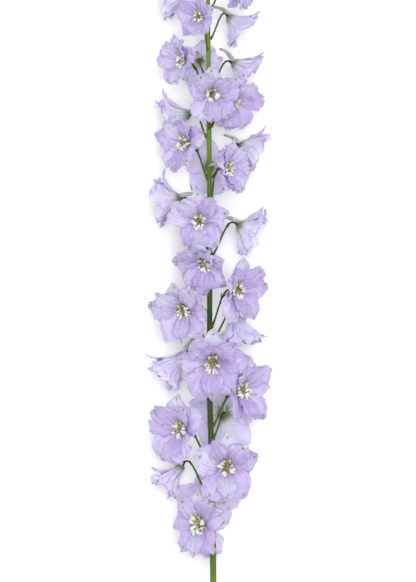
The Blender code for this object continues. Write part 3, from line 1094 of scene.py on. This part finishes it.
def stem_finish(settings):
    """Green with paler ribs and a light bloom, yellower where young, with painted shade on its middle
    stretch among the flowers and some darker patches.
    """
    look = Finish(settings, "stem_green", specular_ior_level=0.25)
    around, along = look.flat()
    cloud = look.noise(38.0, 4.0)
    look.ground(look.between(cloud, 0.3, 0.7), "green", "light_green")
    rib = look.between((around * math.pi * STEM_RIBS).sine(), -0.2, 1.0)
    look.coat("light_green", rib * 0.35)
    look.coat("pale_green", look.between(look.noise(900.0, 2.0), 0.62, 0.75) * 0.25)
    look.coat("light_green", look.between(along, 0.58, 0.72) * 0.6)
    # Painted shade: the middle stretch, where the flowers crowd around the stem, is darkened, and
    # noise adds darker patches of its own green
    painted_shade = look.between(along, 0.2, 0.32) * look.between(along, 0.62, 0.5) * 0.9
    look.coat("dark_green_and_shade", painted_shade + look.between(look.noise(14.0, 2.0), 0.5, 0.7) * 0.2)
    height = look.noise(500.0, 3.0) * 0.5 + rib
    return look.done(look.between(cloud, 0.3, 0.7) * 0.15 + 0.4, height, 0.0003, 0.5)


def floor_finish(settings):
    """Pale, with faint clouds."""
    look = Finish(settings, "pale_floor", roughness=0.85)
    darker = tuple(part * 0.99 for part in settings.floor)
    shade = look.between(look.noise(3.0, 2.0), 0.2, 0.8)
    plug(look.tree, look.surface.inputs["Base Color"], look.mix(shade, darker, "floor"))
    return look.material


# Settings that a user would change


def swatch(name, description, default):
    return bpy.props.FloatVectorProperty(
        name=name, description=description, default=default, size=3, subtype="COLOR", min=0, max=1
    )


def amount(name, description, default, low, high, subtype):
    return bpy.props.FloatProperty(
        name=name, description=description, default=default, min=low, max=high, subtype=subtype
    )


def number(name, description, default, low, high):
    return bpy.props.IntProperty(
        name=name, description=description, default=default, min=low, max=high
    )


class FlowerSettings(bpy.types.PropertyGroup):
    lilac: swatch("Lilac", "Sepals where they are deepest", (0.52, 0.42, 0.78))
    pale: swatch("Pale lilac", "Sepals where they are lightest", (0.65, 0.62, 0.90))
    # Violet of the veins and margins, which on the streaks is partly painted shade of the folds
    violet: swatch("Violet", "Veins, folds and margins", (0.42, 0.26, 0.68))
    pink: swatch("Pink", "Flush in the lower half of a sepal", (0.58, 0.41, 0.75))
    # White of the palest parts, which is partly painted highlight on the streaks and painted light at
    # the sepals' bases
    white: swatch("White", "Palest parts of the sepals", (0.77, 0.75, 0.89))
    throat: swatch("Throat", "Green at the base of the sepals", (0.44, 0.50, 0.13))
    halo: swatch("Halo", "Pale green around the mark at a tip", (0.52, 0.54, 0.42))
    mark: swatch("Mark", "Olive mark near a sepal's tip", (0.11, 0.13, 0.03))
    back: swatch("Back", "Backs of the sepals", (0.70, 0.62, 0.92))
    calyx: swatch("Calyx", "Green at the foot of the sepals' backs", (0.06, 0.12, 0.02))
    spur: swatch("Spur", "Spur", (0.31, 0.31, 0.25))
    spur_stripe: swatch("Spur stripe", "Stripes along the spur", (0.24, 0.27, 0.16))
    # Yellowish white of the filaments and small petals, also used as painted shade on the small
    # petals towards their claws
    cream_and_shade: swatch("Cream", "Small petals in the shade", (0.80, 0.76, 0.60))
    bee: swatch("Bee", "Small petals of the bee", (0.92, 0.90, 0.88))
    hair: swatch("Beard", "Hairs on the small petals", (0.97, 0.96, 0.90))
    anther: swatch("Anther", "Anthers that are not ripe yet", (0.05, 0.028, 0.02))
    olive: swatch("Olive", "Ripe anthers and claws", (0.36, 0.33, 0.08))
    pollen: swatch("Pollen", "Dust on ripe anthers", (0.62, 0.52, 0.2))
    wall: amount("Wall", "Thickness of a sepal", 0.35, 0.1, 1.0, "DISTANCE_CAMERA")
    fullness: amount("Fullness", "Width of a sepal by the frame's", 1.14, 0.5, 2.0, "FACTOR")
    ruffle: amount("Ruffle", "Height of the margins' waves", 1.3, 0, 4, "DISTANCE_CAMERA")
    stamens: number("Stamens", "Stamens in each flower", 14, 3, 40)


class GreenSettings(bpy.types.PropertyGroup):
    green: swatch("Green", "Stem", (0.075, 0.14, 0.008))
    light_green: swatch("Light green", "Ribs of the stem", (0.14, 0.23, 0.02))
    pale_green: swatch("Pale green", "Bloom on the stem", (0.25, 0.34, 0.1))
    # Dark green serves as painted shade on the stem's middle stretch, and as the stem's darker
    # patches and the flower ends of the pedicels
    dark_green_and_shade: swatch("Dark green", "Stem in its darker stretches", (0.02, 0.04, 0.003))
    pedicel: swatch("Pedicel", "Flower stalks", (0.02, 0.042, 0.005))
    pith: swatch("Pith", "Middle of the cut end", (0.55, 0.6, 0.4))
    bud: swatch("Bud", "Buds", (0.36, 0.38, 0.42))
    bud_tip: swatch("Bud tip", "Buds where they show colour", (0.42, 0.34, 0.62))
    sides: number("Stem sides", "Faces around the stem", 30, 8, 64)


class StageSettings(bpy.types.PropertyGroup):
    floor: swatch("Floor", "Surface that the spike lies on", (0.96, 0.96, 0.96))
    lens: amount("Lens", "Focal length of the camera", 200.0, 20, 400, "DISTANCE_CAMERA")
    height: amount("Height", "Camera above the stem's axis", 2.425, 0.5, 5, "DISTANCE")
    power: amount("Light", "Power of the overhead light", 43.0, 0, 500, "POWER")
    sky: amount("Sky", "Strength of the light from all around", 0.76, 0, 5, "FACTOR")


class SpikeSettings(bpy.types.PropertyGroup):
    flower: bpy.props.PointerProperty(type=FlowerSettings)
    green: bpy.props.PointerProperty(type=GreenSettings)
    stage: bpy.props.PointerProperty(type=StageSettings)


# Operators


class DELPHINIUM_OT_stem(bpy.types.Operator):
    """Models the ribbed stem with its cut end"""

    bl_idname = "delphinium.stem"
    bl_label = "Stem"

    def execute(self, context):
        settings = context.scene.delphinium.green
        span = STEM_TOP - STEM_CUT
        heights = [STEM_CUT + span * i / STEM_STEPS for i in range(STEM_STEPS + 1)]
        profile = [((h - STEM_CUT) / span, value_at(STEM_RADII, h)) for h in heights]
        profile.append(STEM_POINT)
        pith = plain_finish(settings, "cut_pith", "pith", "light_green", 900.0, 0.0004)
        tube = tube_blank("stem_blank", settings.sides, profile, [stem_finish(settings), pith])
        cut_end(tube)
        x, y, z = points_of(tube).T
        rib = rib_through([stem_axis(h) for h in heights], Vector((1, 0, 0)))
        swell = 1 + RIB_RISE * np.cos(np.arctan2(z, x) * STEM_RIBS)
        for flower, settled in zip(FLOWERS, settle_all()):
            above = STEM_CUT + y * span - foot_height(flower, settled["pedicel"])
            swell += NODE_RISE * np.exp(-((above / NODE_REACH) ** 2))
        laid = rib.lay(x * swell, np.clip(y, 0, 1), z * swell)
        laid[:, 1] += np.maximum(y - 1, 0) * span
        piece = joined("stem_ribbed", [copy_of(tube, laid)])
        remove(tube)
        placed(piece, "stem", "stem")
        return {"FINISHED"}


def cut_end(tube):
    """Insets the cut face of the stem, and gives its middle the pith's material and a hollow."""
    select(tube)
    bpy.ops.object.mode_set(mode="EDIT")
    bpy.ops.mesh.select_mode(type="FACE")
    choose_faces(tube, lambda face: face.calc_center_median().y < 1e-5 and abs(face.normal.y) > 0.9)
    bpy.ops.mesh.inset(thickness=CUT_RIM)
    tube.active_material_index = 1
    bpy.ops.object.material_slot_assign()
    bpy.ops.mesh.inset(thickness=PITH_RIM)
    bpy.ops.transform.translate(value=(0, PITH_DEPTH, 0))
    bpy.ops.object.mode_set(mode="OBJECT")


class DELPHINIUM_OT_pedicels(bpy.types.Operator):
    """Models the flower stalks with their receptacles and pairs of bracteoles"""

    bl_idname = "delphinium.pedicels"
    bl_label = "Pedicels"

    def execute(self, context):
        skin = plain_finish(
            context.scene.delphinium.green, "pedicel_green", "pedicel", "green", 200.0, 0.0003,
            tip="dark_green_and_shade", specular_ior_level=0.2,
        )
        tube = tube_blank("pedicel_blank", 10, PEDICEL_PROFILE, [skin])
        leaf = sheet_blank("bracteole_blank", 2, 6, BRACT_OUTLINE, [skin, skin])
        for i, (flower, settled) in enumerate(zip(FLOWERS, settle_all())):
            axes = settled["axes"]
            path = pedicel_path(flower, axes, settled["pedicel"], 20)[1]
            path.append(axes @ Vector((0, 0, -0.6 * flower.size)))
            rib = rib_through(path, axes.col[0].xyz)
            parts = [laid_along(tube, rib, PEDICEL_RADIUS * (0.5 + 0.35 * flower.size))]
            parts += [bracteole(leaf, rib, side, flower.size) for side in (-1, 1)]
            placed(joined(f"pedicel_{i + 1:02d}", parts), "stem")
        remove(tube, leaf)
        return {"FINISHED"}


def bracteole(leaf, rib, side, size):
    """A small leaf beside the pedicel, on the flower's half of it."""
    at = np.array([BRACTEOLE_PLACE])
    place = Vector(rib.at(rib.places, at)[0])
    ahead = (Vector(rib.at(rib.places, at + 0.08)[0]) - place).normalized()
    out = Vector(rib.at(rib.sides, at)[0]) * side
    places = []
    for t in steps_to_one(6):
        aside = 0.8 + BRACTEOLE_LEAN * t * (1 - 0.35 * t)
        places.append(place + out * aside * size + ahead * BRACTEOLE_LENGTH * t * size)
    own = rib_through(places, Vector(rib.at(rib.fronts, at)[0]))
    x, y, _ = points_of(leaf).T
    laid = own.lay(x * BRACTEOLE_WIDTH * size, y, 0.25 * x**2)
    return thickened(copy_of(leaf, laid), LEAF_WALL)


class DELPHINIUM_OT_bracts(bpy.types.Operator):
    """Models the narrow leaf below the foot of each pedicel"""

    bl_idname = "delphinium.bracts"
    bl_label = "Bracts"

    def execute(self, context):
        skin = plain_finish(
            context.scene.delphinium.green, "bract_green", "green", "light_green", 300.0, 0.0003,
            tip="pedicel", specular_ior_level=0.25,
        )
        leaf = sheet_blank("bract_blank", 4, 8, BRACT_OUTLINE, [skin, skin])
        feet, parts = [], []
        for flower, settled in zip(FLOWERS, settle_all()):
            shift = settled["pedicel"]
            size = 0.35 + 0.65 * flower.size
            feet.append((foot_height(flower, shift), flower.around + shift[1], size))
        for i in range(BUDS):
            share, height, reach, _ = bud_at(i)
            feet.append((height - reach, GOLDEN_TURN * i, 0.7 - 0.3 * share))
        x, y, _ = points_of(leaf).T
        for height, around, size in feet:
            out = outwards(around)
            low = height - BRACT_DROP
            base = stem_axis(low) + out * (value_at(STEM_RADII, low) - 0.2)
            places = [
                base + ALONG * BRACT_LENGTH * t * size + out * (0.4 * t + BRACT_LEAN * t**1.8) * size
                for t in steps_to_one(8)
            ]
            rib = rib_through(places, out.cross(ALONG))
            laid = rib.lay(x * BRACT_WIDTH * size, y, 0.5 * x**2 * (1 - y))
            parts.append(copy_of(leaf, laid))
        piece = thickened(joined("bracts", parts), LEAF_WALL)
        remove(leaf)
        placed(piece, "stem")
        return {"FINISHED"}


class DELPHINIUM_OT_sepals(bpy.types.Operator):
    """Models the sepals of each flower, with its spur"""

    bl_idname = "delphinium.sepals"
    bl_label = "Sepals and spurs"

    def execute(self, context):
        settings = context.scene.delphinium.flower
        faces = [sepal_front(settings), sepal_back(settings)]
        blanks = [
            (sheet_blank(f"sepal_{name}", *SEPAL_GRID, outline, faces, notch), outline)
            for name, outline, notch in SEPAL_KINDS
        ]
        tube = tube_blank("spur_blank", 12, SPUR_PROFILE, [spur_finish(settings)])
        for i, (flower, settled) in enumerate(zip(FLOWERS, settle_all())):
            sheets = []
            for whorl, face in ((whorl, face) for whorl in (OUTER, INNER) for face in whorl.faces):
                seeds = (SEPAL_SEEDS[0] * i, SEPAL_SEEDS[1] * face, len(whorl.columns))
                rng = random.Random(sum(seeds))
                kind = rng.choice(blanks)
                if whorl is OUTER and (face == 0 or rng.random() < POINTED_SHARE):
                    kind = blanks[0]
                look = sepal_look(rng, settings, flower, whorl, face)
                sheets.append(sepal(*kind, flower, settled, whorl, face, look))
            piece = thickened(joined(f"sepals_{i + 1:02d}", sheets), settings.wall)
            piece = joined(piece.name, [piece, spur(tube, flower, settled, SPUR_SEED + i)])
            placed(piece, "sepal", f"flower_{i + 1:02d}")
        remove(tube, *(blank for blank, _ in blanks))
        return {"FINISHED"}


def sepal_look(rng, settings, flower, whorl, face):
    """Flowers that are half open or seen from the side have more cupped sepals, with lower waves
    and deeper pleats, and each flower's spurred sepal is flatter, narrower and paler."""
    outer = whorl is OUTER
    back = outer and face == 0
    shy = flower.closing > 4 or abs(flower.facing) >= 85
    calm = 0.5 if back else 1.0
    return Look(
        cup=rng.uniform(0.2, 1.3) * whorl.cup * (1.5 if shy else 1) * calm,
        ruffle=settings.ruffle * rng.uniform(0.6, 1.5) * (0.9 if shy else 1) * calm,
        waves=rng.uniform(1.8, 3.4),
        phase=rng.uniform(0, 1),
        pleat=rng.uniform(0.3, 0.65) * (1.2 if shy else 1) * calm,
        folds=rng.uniform(2.4, 4.2),
        sway=rng.uniform(-3.0, 3.0),
        twist=rng.uniform(-14, 14) * calm,
        tilt=rng.uniform(-8, 6),
        curl=rng.uniform(-4.0, 8.0) * calm,
        width=settings.fullness * rng.uniform(0.86, 1.12) * (0.84 if back else 1),
        length=rng.uniform(0.9, 1.0),
        offset=(-0.9, 1.1, -0.5, 0.9, -0.2)[face // 2] if outer else 0.4,
        tone=rng.uniform(0.75, 1.0) if back else rng.uniform(0.0, 0.8),
        spot=rng.uniform(0.7, 1.0) if back or rng.random() < 0.5 else rng.uniform(0.0, 0.15),
    )


def jagged(places, phase):
    """Uneven waves between about -1 and 1."""
    waves = ((1.9, 0.5, 1.0), (4.3, 0.34, 1.7), (8.6, 0.26, 3.1))
    return sum(high * np.sin(math.tau * (many * places + turn * phase)) for many, high, turn in waves)


def sepal(blank, outline, flower, settled, whorl, face, look):
    """A copy of a sepal blank laid along its midrib, with its own waves and pleats."""
    axes, shape, size = settled["axes"], settled[(whorl, face)], flower.size
    rib = sepal_rib(flower, axes, whorl, face, shape)
    x, y, _ = points_of(blank).T
    width, side = values_at(outline, y), np.sign(x)
    column = x / width
    half = whorl.half_width * size * (0.5 + 0.5 * shape[0]) * look.width
    room = np.interp(y, rib.along, [off_axis(axes, Vector(p)) for p in rib.places]) * 0.95 + 0.4
    grow = np.minimum(half, room / np.maximum(width, 0.3))
    ragged = 0.1 * smooth(y, 0.3, 0.6) * jagged(y * 1.3, look.phase + 0.37 * side)
    across = x * grow * (1 + ragged)
    edge = np.abs(column) ** 1.8 * smooth(y, 0.2, 0.6)
    wave = np.sin(math.tau * (y * look.waves + look.phase + 0.31 * side))
    fine = 0.5 * np.sin(math.tau * (y * look.waves * 2.7 + 2 * look.phase + 0.5 * column))
    pleats = np.cos(math.pi * look.folds * column + 5 * look.phase) * np.sin(math.pi * y) ** 0.7
    dents = jagged(0.6 * y + 0.35 * column, look.phase * 1.7) * smooth(y, 0.2, 0.9)
    off = look.cup * size * (np.abs(column) ** 1.4 - 0.5) * width
    off += look.ruffle * size * edge * (wave + fine)
    off += look.pleat * size * pleats
    off += 0.45 * size * dents
    off += look.offset * size * smooth(y, 0.1, 0.5)
    off += math.sin(math.radians(look.tilt)) * whorl.length * size * y * y
    off -= look.curl * size * np.maximum(0, y - 0.62) ** 2 * 4
    turn = np.radians(look.twist) * y
    off += across * np.sin(turn)
    across = across * np.cos(turn) + look.sway * size * y**2
    worn = 0.045 * smooth(y, 0.62, 1.0) * (1 + jagged(column * 0.55, look.phase * 2.3))
    laid = rib.lay(across, np.clip(look.length * y - worn, 0, 1), off)
    return copy_of(blank, laid, look.tone, look.spot)


def sepal_rib(flower, axes, whorl, face, shape):
    """The CAD's midrib, a little longer, with a claw that starts on the receptacle."""
    line = midrib(flower, axes, whorl, face, shape)
    sideways = sepal_spokes(axes, face, shape[2])[1]
    ahead = axes.col[2].xyz
    low, grow = (1.3, 1.05) if whorl is OUTER else (1.8, 1.14)
    claw = sideways.cross(ahead) * low + ahead * (whorl.root[1] - 1.2)
    root = line[0][0]
    places = [axes.translation + claw * flower.size]
    places += [root + (place - root) * grow for place, _ in line]
    fronts = [line[0][1]] + [normal for _, normal in line]
    along = np.concatenate([[0.0], np.linspace(0.06, 1.0, len(line))])
    return Rib(places, [-sideways] * len(places), fronts, along)


def spur(tube, flower, settled, seed):
    """The spur, which runs back from the top of the flower and droops a little at its end."""
    rng = random.Random(seed)
    axes, size = settled["axes"], flower.size
    path = [Vector((0, 1.0, 0.6)), Vector((0, 1.6, -1.2))]
    path += [place for place, _, _ in spur_path(flower, settled["spur"])]
    path[-1] = path[-1] + Vector((rng.uniform(-1, 1), rng.uniform(-1.2, 0.6), 0))
    places = [axes @ (smooth_between(path, t) * size) for t in steps_to_one(16)]
    x, y, z = points_of(tube).T
    wrinkle = 1 + 0.15 * np.sin(y * 40 + np.arctan2(z, x) * 2)
    rib = rib_through(places, axes.col[0].xyz)
    return laid_along(tube, rib, SPUR_WIDTH * size * wrinkle, rng.random())


def smooth_between(places, at):
    """A place on the smooth line through a few places."""
    reach = at * (len(places) - 1)
    i = min(int(reach), len(places) - 2)
    before, after = places[max(i - 1, 0)], places[min(i + 2, len(places) - 1)]
    low, high = places[i], places[i + 1]
    return hermite(low, (high - before) / 2, high, (after - low) / 2, reach - i)


class DELPHINIUM_OT_hearts(bpy.types.Operator):
    """Models the small petals, stamens and carpels in the middle of each flower"""

    bl_idname = "delphinium.hearts"
    bl_label = "Flower centres"

    def execute(self, context):
        settings = context.scene.delphinium.flower
        petal = bee_finish(settings, "small_petal", "cream_and_shade")
        nectar = bee_finish(settings, "nectar_petal", "olive")
        green = plain_finish(settings, "throat_green", "throat", "olive", 500.0, 0.0003)
        filament = plain_finish(settings, "filament", "cream_and_shade", "white", 900.0, 0.0002)
        carpel = plain_finish(settings, "carpel", "throat", "olive", 700.0, 0.0003)
        rod = [filament, anther_finish(settings)]
        blanks = {
            "limb": sheet_blank("limb_blank", 6, 12, LIMB_OUTLINE, [petal, petal], 0.12),
            "blade": sheet_blank("blade_blank", 4, 10, BLADE_OUTLINE, [nectar, nectar]),
            "throat": sheet_blank("throat_blank", 4, 8, BLADE_OUTLINE, [green, green]),
            "stamen": tube_blank("stamen_blank", 6, STAMEN_PROFILE, rod, ANTHER_FOOT),
            "carpel": tube_blank("carpel_blank", 8, CARPEL_PROFILE, [carpel]),
        }
        for i, (flower, settled) in enumerate(zip(FLOWERS, settle_all())):
            rng = random.Random(HEART_SEED + i)
            axes, size = settled["axes"], flower.size * (1 - flower.closing / CLOSED)
            petals = small_petals(rng, blanks, axes, size, flower.closing)
            piece = thickened(joined(f"heart_{i + 1:02d}", petals), PETAL_WALL)
            rods = stamens(rng, blanks, axes, size, settings.stamens, flower.closing)
            placed(joined(piece.name, [piece, *rods]), "sepal")
        remove(*blanks.values())
        return {"FINISHED"}


def small_petals(rng, blanks, axes, size, closing):
    """The bee: curled, forked limbs around the stamens, two blades above and a green throat."""
    things = []
    for turn in LIMB_TURNS:
        low = 0.5 - 0.5 * math.sin(math.radians(turn))
        for fork in LIMB_FORKS:
            if rng.random() < 0.45 - 0.3 * low:
                continue
            outer = min(70, rng.uniform(-45, 50) + SHUT * closing)
            curl = ((0.66, outer + 10), (0.84, outer - 70), (1.0, outer - 150))
            root = (rng.uniform(1.2, 2.8), 1.0)
            long, lean = rng.uniform(*LIMB_LENGTHS) + 3.5 * low, rng.uniform(-0.5, 0.5)
            around = turn + fork + rng.uniform(-9, 9)
            rib = petal_rib(axes, size, around, root, long, ((0, 86), (0.45, 74), *curl), sway=lean)
            things.append(limb(rng, blanks["limb"], rib, size))
    wide = rng.uniform(0.7, 1.5)
    for turn, lean in ((58, -0.1), (122, 0.1)):
        angles = ((0, 52), (0.5, 66), (0.8, 50), (1.0, 10))
        long = rng.uniform(*BLADE_LENGTHS)
        rib = petal_rib(axes, size, turn, (1.9, 1.6), long, angles, sway=lean)
        things.append(blade(rng, blanks["blade"], rib, wide * size, size))
    if rng.random() < 0.3:
        angles = ((0, 70), (0.5, 72), (0.8, 60), (1.0, 30))
        rib = petal_rib(axes, size, 84, (1.2, 1.4), rng.uniform(9.0, 12.0), angles)
        things.append(blade(rng, blanks["blade"], rib, 2.4 * size, size))
    for turn, long, wide in THROAT_BLADES:
        rib = petal_rib(axes, size, turn, (1.3, 1.2), long, ((0, 50), (0.3, 60), (1.0, 50)))
        things.append(blade(rng, blanks["throat"], rib, wide * size, size))
    return things


def limb(rng, blank, rib, size):
    """A narrow claw with a waved, curled end."""
    x, y, _ = points_of(blank).T
    curly, phase = smooth(y, 0.5, 0.8), rng.random()
    wave = np.sin(math.tau * (y * 3.4 + phase + 0.3 * np.sign(x)))
    off = 0.8 * curly * np.abs(x) ** 1.4 * wave + 0.5 * x**2 * (1 - curly) - 0.6 * curly * (1 - x**2)
    across = x * rng.uniform(0.6, 1.1) * size * (1 + 0.3 * jagged(y, phase) * curly)
    return copy_of(blank, rib.lay(across, y, off * size), rng.random())


def blade(rng, blank, rib, wide, size):
    """A small petal that is hollow along its middle, with a slight wave."""
    x, y, _ = points_of(blank).T
    off = 0.6 * x**2 + 0.3 * np.sin(9 * y + 3 * x)
    return copy_of(blank, rib.lay(x * wide, y, off * size), rng.random())


def stamens(rng, blanks, axes, size, count, closing):
    """Stamens that bend down and out around three carpels."""
    things = []
    for k in range(count):
        turn = k * GOLDEN_TURN + rng.uniform(-12, 12)
        share = (k + 0.5) / count
        tip = 78 - 70 * share + rng.uniform(-12, 12) + SHUT * closing
        angles = ((0, 88), (0.5, 84 - 14 * share), (1.0, min(80, tip)))
        root = (0.5 + 1.2 * share, 1.0)
        rib = petal_rib(axes, size, turn, root, rng.uniform(*STAMEN_LENGTHS), angles, 8)
        things.append(laid_along(blanks["stamen"], rib, 1.1 * size, rng.random()))
    for turn in (90, 210, 330):
        rib = petal_rib(axes, size, turn, (0.55, 0.6), CARPEL_LENGTH, ((0, 88), (1.0, 74)), 8)
        things.append(laid_along(blanks["carpel"], rib, size, rng.random()))
    return things


class DELPHINIUM_OT_buds(bpy.types.Operator):
    """Models the buds at the tip, with their spurs and stalks"""

    bl_idname = "delphinium.buds"
    bl_label = "Buds"

    def execute(self, context):
        settings = context.scene.delphinium.green
        skin = plain_finish(
            settings, "bud_skin", "bud", "light_green", 260.0, 0.0004,
            tip="bud_tip", subsurface_weight=0.1, subsurface_scale=0.001,
        )
        stalk = plain_finish(settings, "bud_stalk", "pedicel", "green", 200.0, 0.0003)
        body = tube_blank("bud_blank", 15, BUD_PROFILE, [skin])
        rod = tube_blank("stalk_blank", 8, [(t, 1.0) for t in steps_to_one(8)], [stalk])
        horn = tube_blank("horn_blank", 8, HORN_PROFILE, [skin])
        x, _, z = points_of(body).T
        ridge = 1 + 0.05 * np.cos(5 * np.arctan2(z, x))
        for i in range(BUDS):
            _, height, reach, length = bud_at(i)
            out = outwards(GOLDEN_TURN * i)
            side, low = ALONG.cross(out), height - reach
            start = stem_axis(low) + out * (value_at(STEM_RADII, low) + GAP)
            lean = (out * 0.8 + ALONG * 0.6).normalized()
            end = stem_axis(height) + out * reach
            pull = (out + ALONG) * reach * 0.5
            path = [hermite(start, pull, end, lean * reach, t) for t in steps_to_one(10)]
            stalk_piece = laid_along(rod, rib_through(path, side), PEDICEL_RADIUS * 0.8)
            placed(joined(f"bud_stalk_{i + 1:02d}", [stalk_piece]), "stem")
            rib = rib_through([end + lean * length * t for t in steps_to_one(10)], side)
            back = side.cross(lean)
            root = end + lean * length * 0.12 + back * length * 0.2
            way = (back * 0.35 - lean) * length * 0.55
            horn_rib = rib_through([root + way * t for t in steps_to_one(8)], side)
            shell = laid_along(body, rib, length * ridge)
            parts = [shell, laid_along(horn, horn_rib, length * 0.12)]
            placed(joined(f"bud_sepals_{i + 1:02d}", parts), "bud", f"bud_{i + 1:02d}")
        remove(body, rod, horn)
        return {"FINISHED"}


class DELPHINIUM_OT_stage(bpy.types.Operator):
    """Sets the pale floor, soft light and camera"""

    bl_idname = "delphinium.stage"
    bl_label = "Stage"

    def execute(self, context):
        settings = context.scene.delphinium.stage
        deselect()
        bpy.ops.mesh.primitive_plane_add(size=FLOOR_SIZE, location=(0, 0, FLOOR_LEVEL))
        floor = context.object
        floor.name = "floor"
        floor.data.materials.append(floor_finish(settings))
        bpy.ops.object.light_add(type="AREA", location=LIGHT_PLACE)
        light = context.object
        light.name = "overhead"
        light.data.energy = settings.power
        light.data.size = LIGHT_SIZE
        light.rotation_euler = (-light.location).to_track_quat("-Z", "Y").to_euler()
        light.visible_camera = False
        world = bpy.data.worlds.new("sky")
        context.scene.world = world
        world.use_nodes = True
        sky = world.node_tree.nodes["Background"]
        sky.inputs["Color"].default_value = (1, 1, 1, 1)
        sky.inputs["Strength"].default_value = settings.sky
        place = (-CENTRE_X * MM, PHOTO_MIDDLE * MM, AXIS_UP * MM + settings.height)
        bpy.ops.object.camera_add(location=place, rotation=(0, 0, 0))
        camera = context.object
        camera.data.lens = settings.lens
        camera.data.sensor_width = SENSOR
        camera.data.clip_end = FAR
        context.scene.camera = camera
        context.scene.view_settings.view_transform = "Standard"
        return {"FINISHED"}


class DELPHINIUM_PT_spike(bpy.types.Panel):
    """Lists the steps that build the spike, with their settings"""

    bl_idname = "DELPHINIUM_PT_spike"
    bl_label = "Delphinium Spike"
    bl_space_type = "VIEW_3D"
    bl_region_type = "UI"
    bl_category = "Delphinium"

    def draw(self, context):
        settings = context.scene.delphinium
        for group in (settings.flower, settings.green, settings.stage):
            box = self.layout.box()
            for name in group.bl_rna.properties.keys():
                if name not in ("rna_type", "name"):
                    box.prop(group, name)
        for operator in OPERATORS:
            self.layout.operator(operator.bl_idname)


OPERATORS = (
    DELPHINIUM_OT_stem,
    DELPHINIUM_OT_pedicels,
    DELPHINIUM_OT_bracts,
    DELPHINIUM_OT_sepals,
    DELPHINIUM_OT_hearts,
    DELPHINIUM_OT_buds,
    DELPHINIUM_OT_stage,
)
SETTINGS = (FlowerSettings, GreenSettings, StageSettings, SpikeSettings)
CLASSES = (*SETTINGS, *OPERATORS, DELPHINIUM_PT_spike)


def register():
    for cls in CLASSES:
        bpy.utils.register_class(cls)
    bpy.types.Scene.delphinium = bpy.props.PointerProperty(type=SpikeSettings)


def unregister():
    del bpy.types.Scene.delphinium
    for cls in reversed(CLASSES):
        bpy.utils.unregister_class(cls)


def main():
    register()
    for operator in OPERATORS:
        kind, name = operator.bl_idname.split(".")
        getattr(getattr(bpy.ops, kind), name)()


if __name__ == "__main__":
    main()
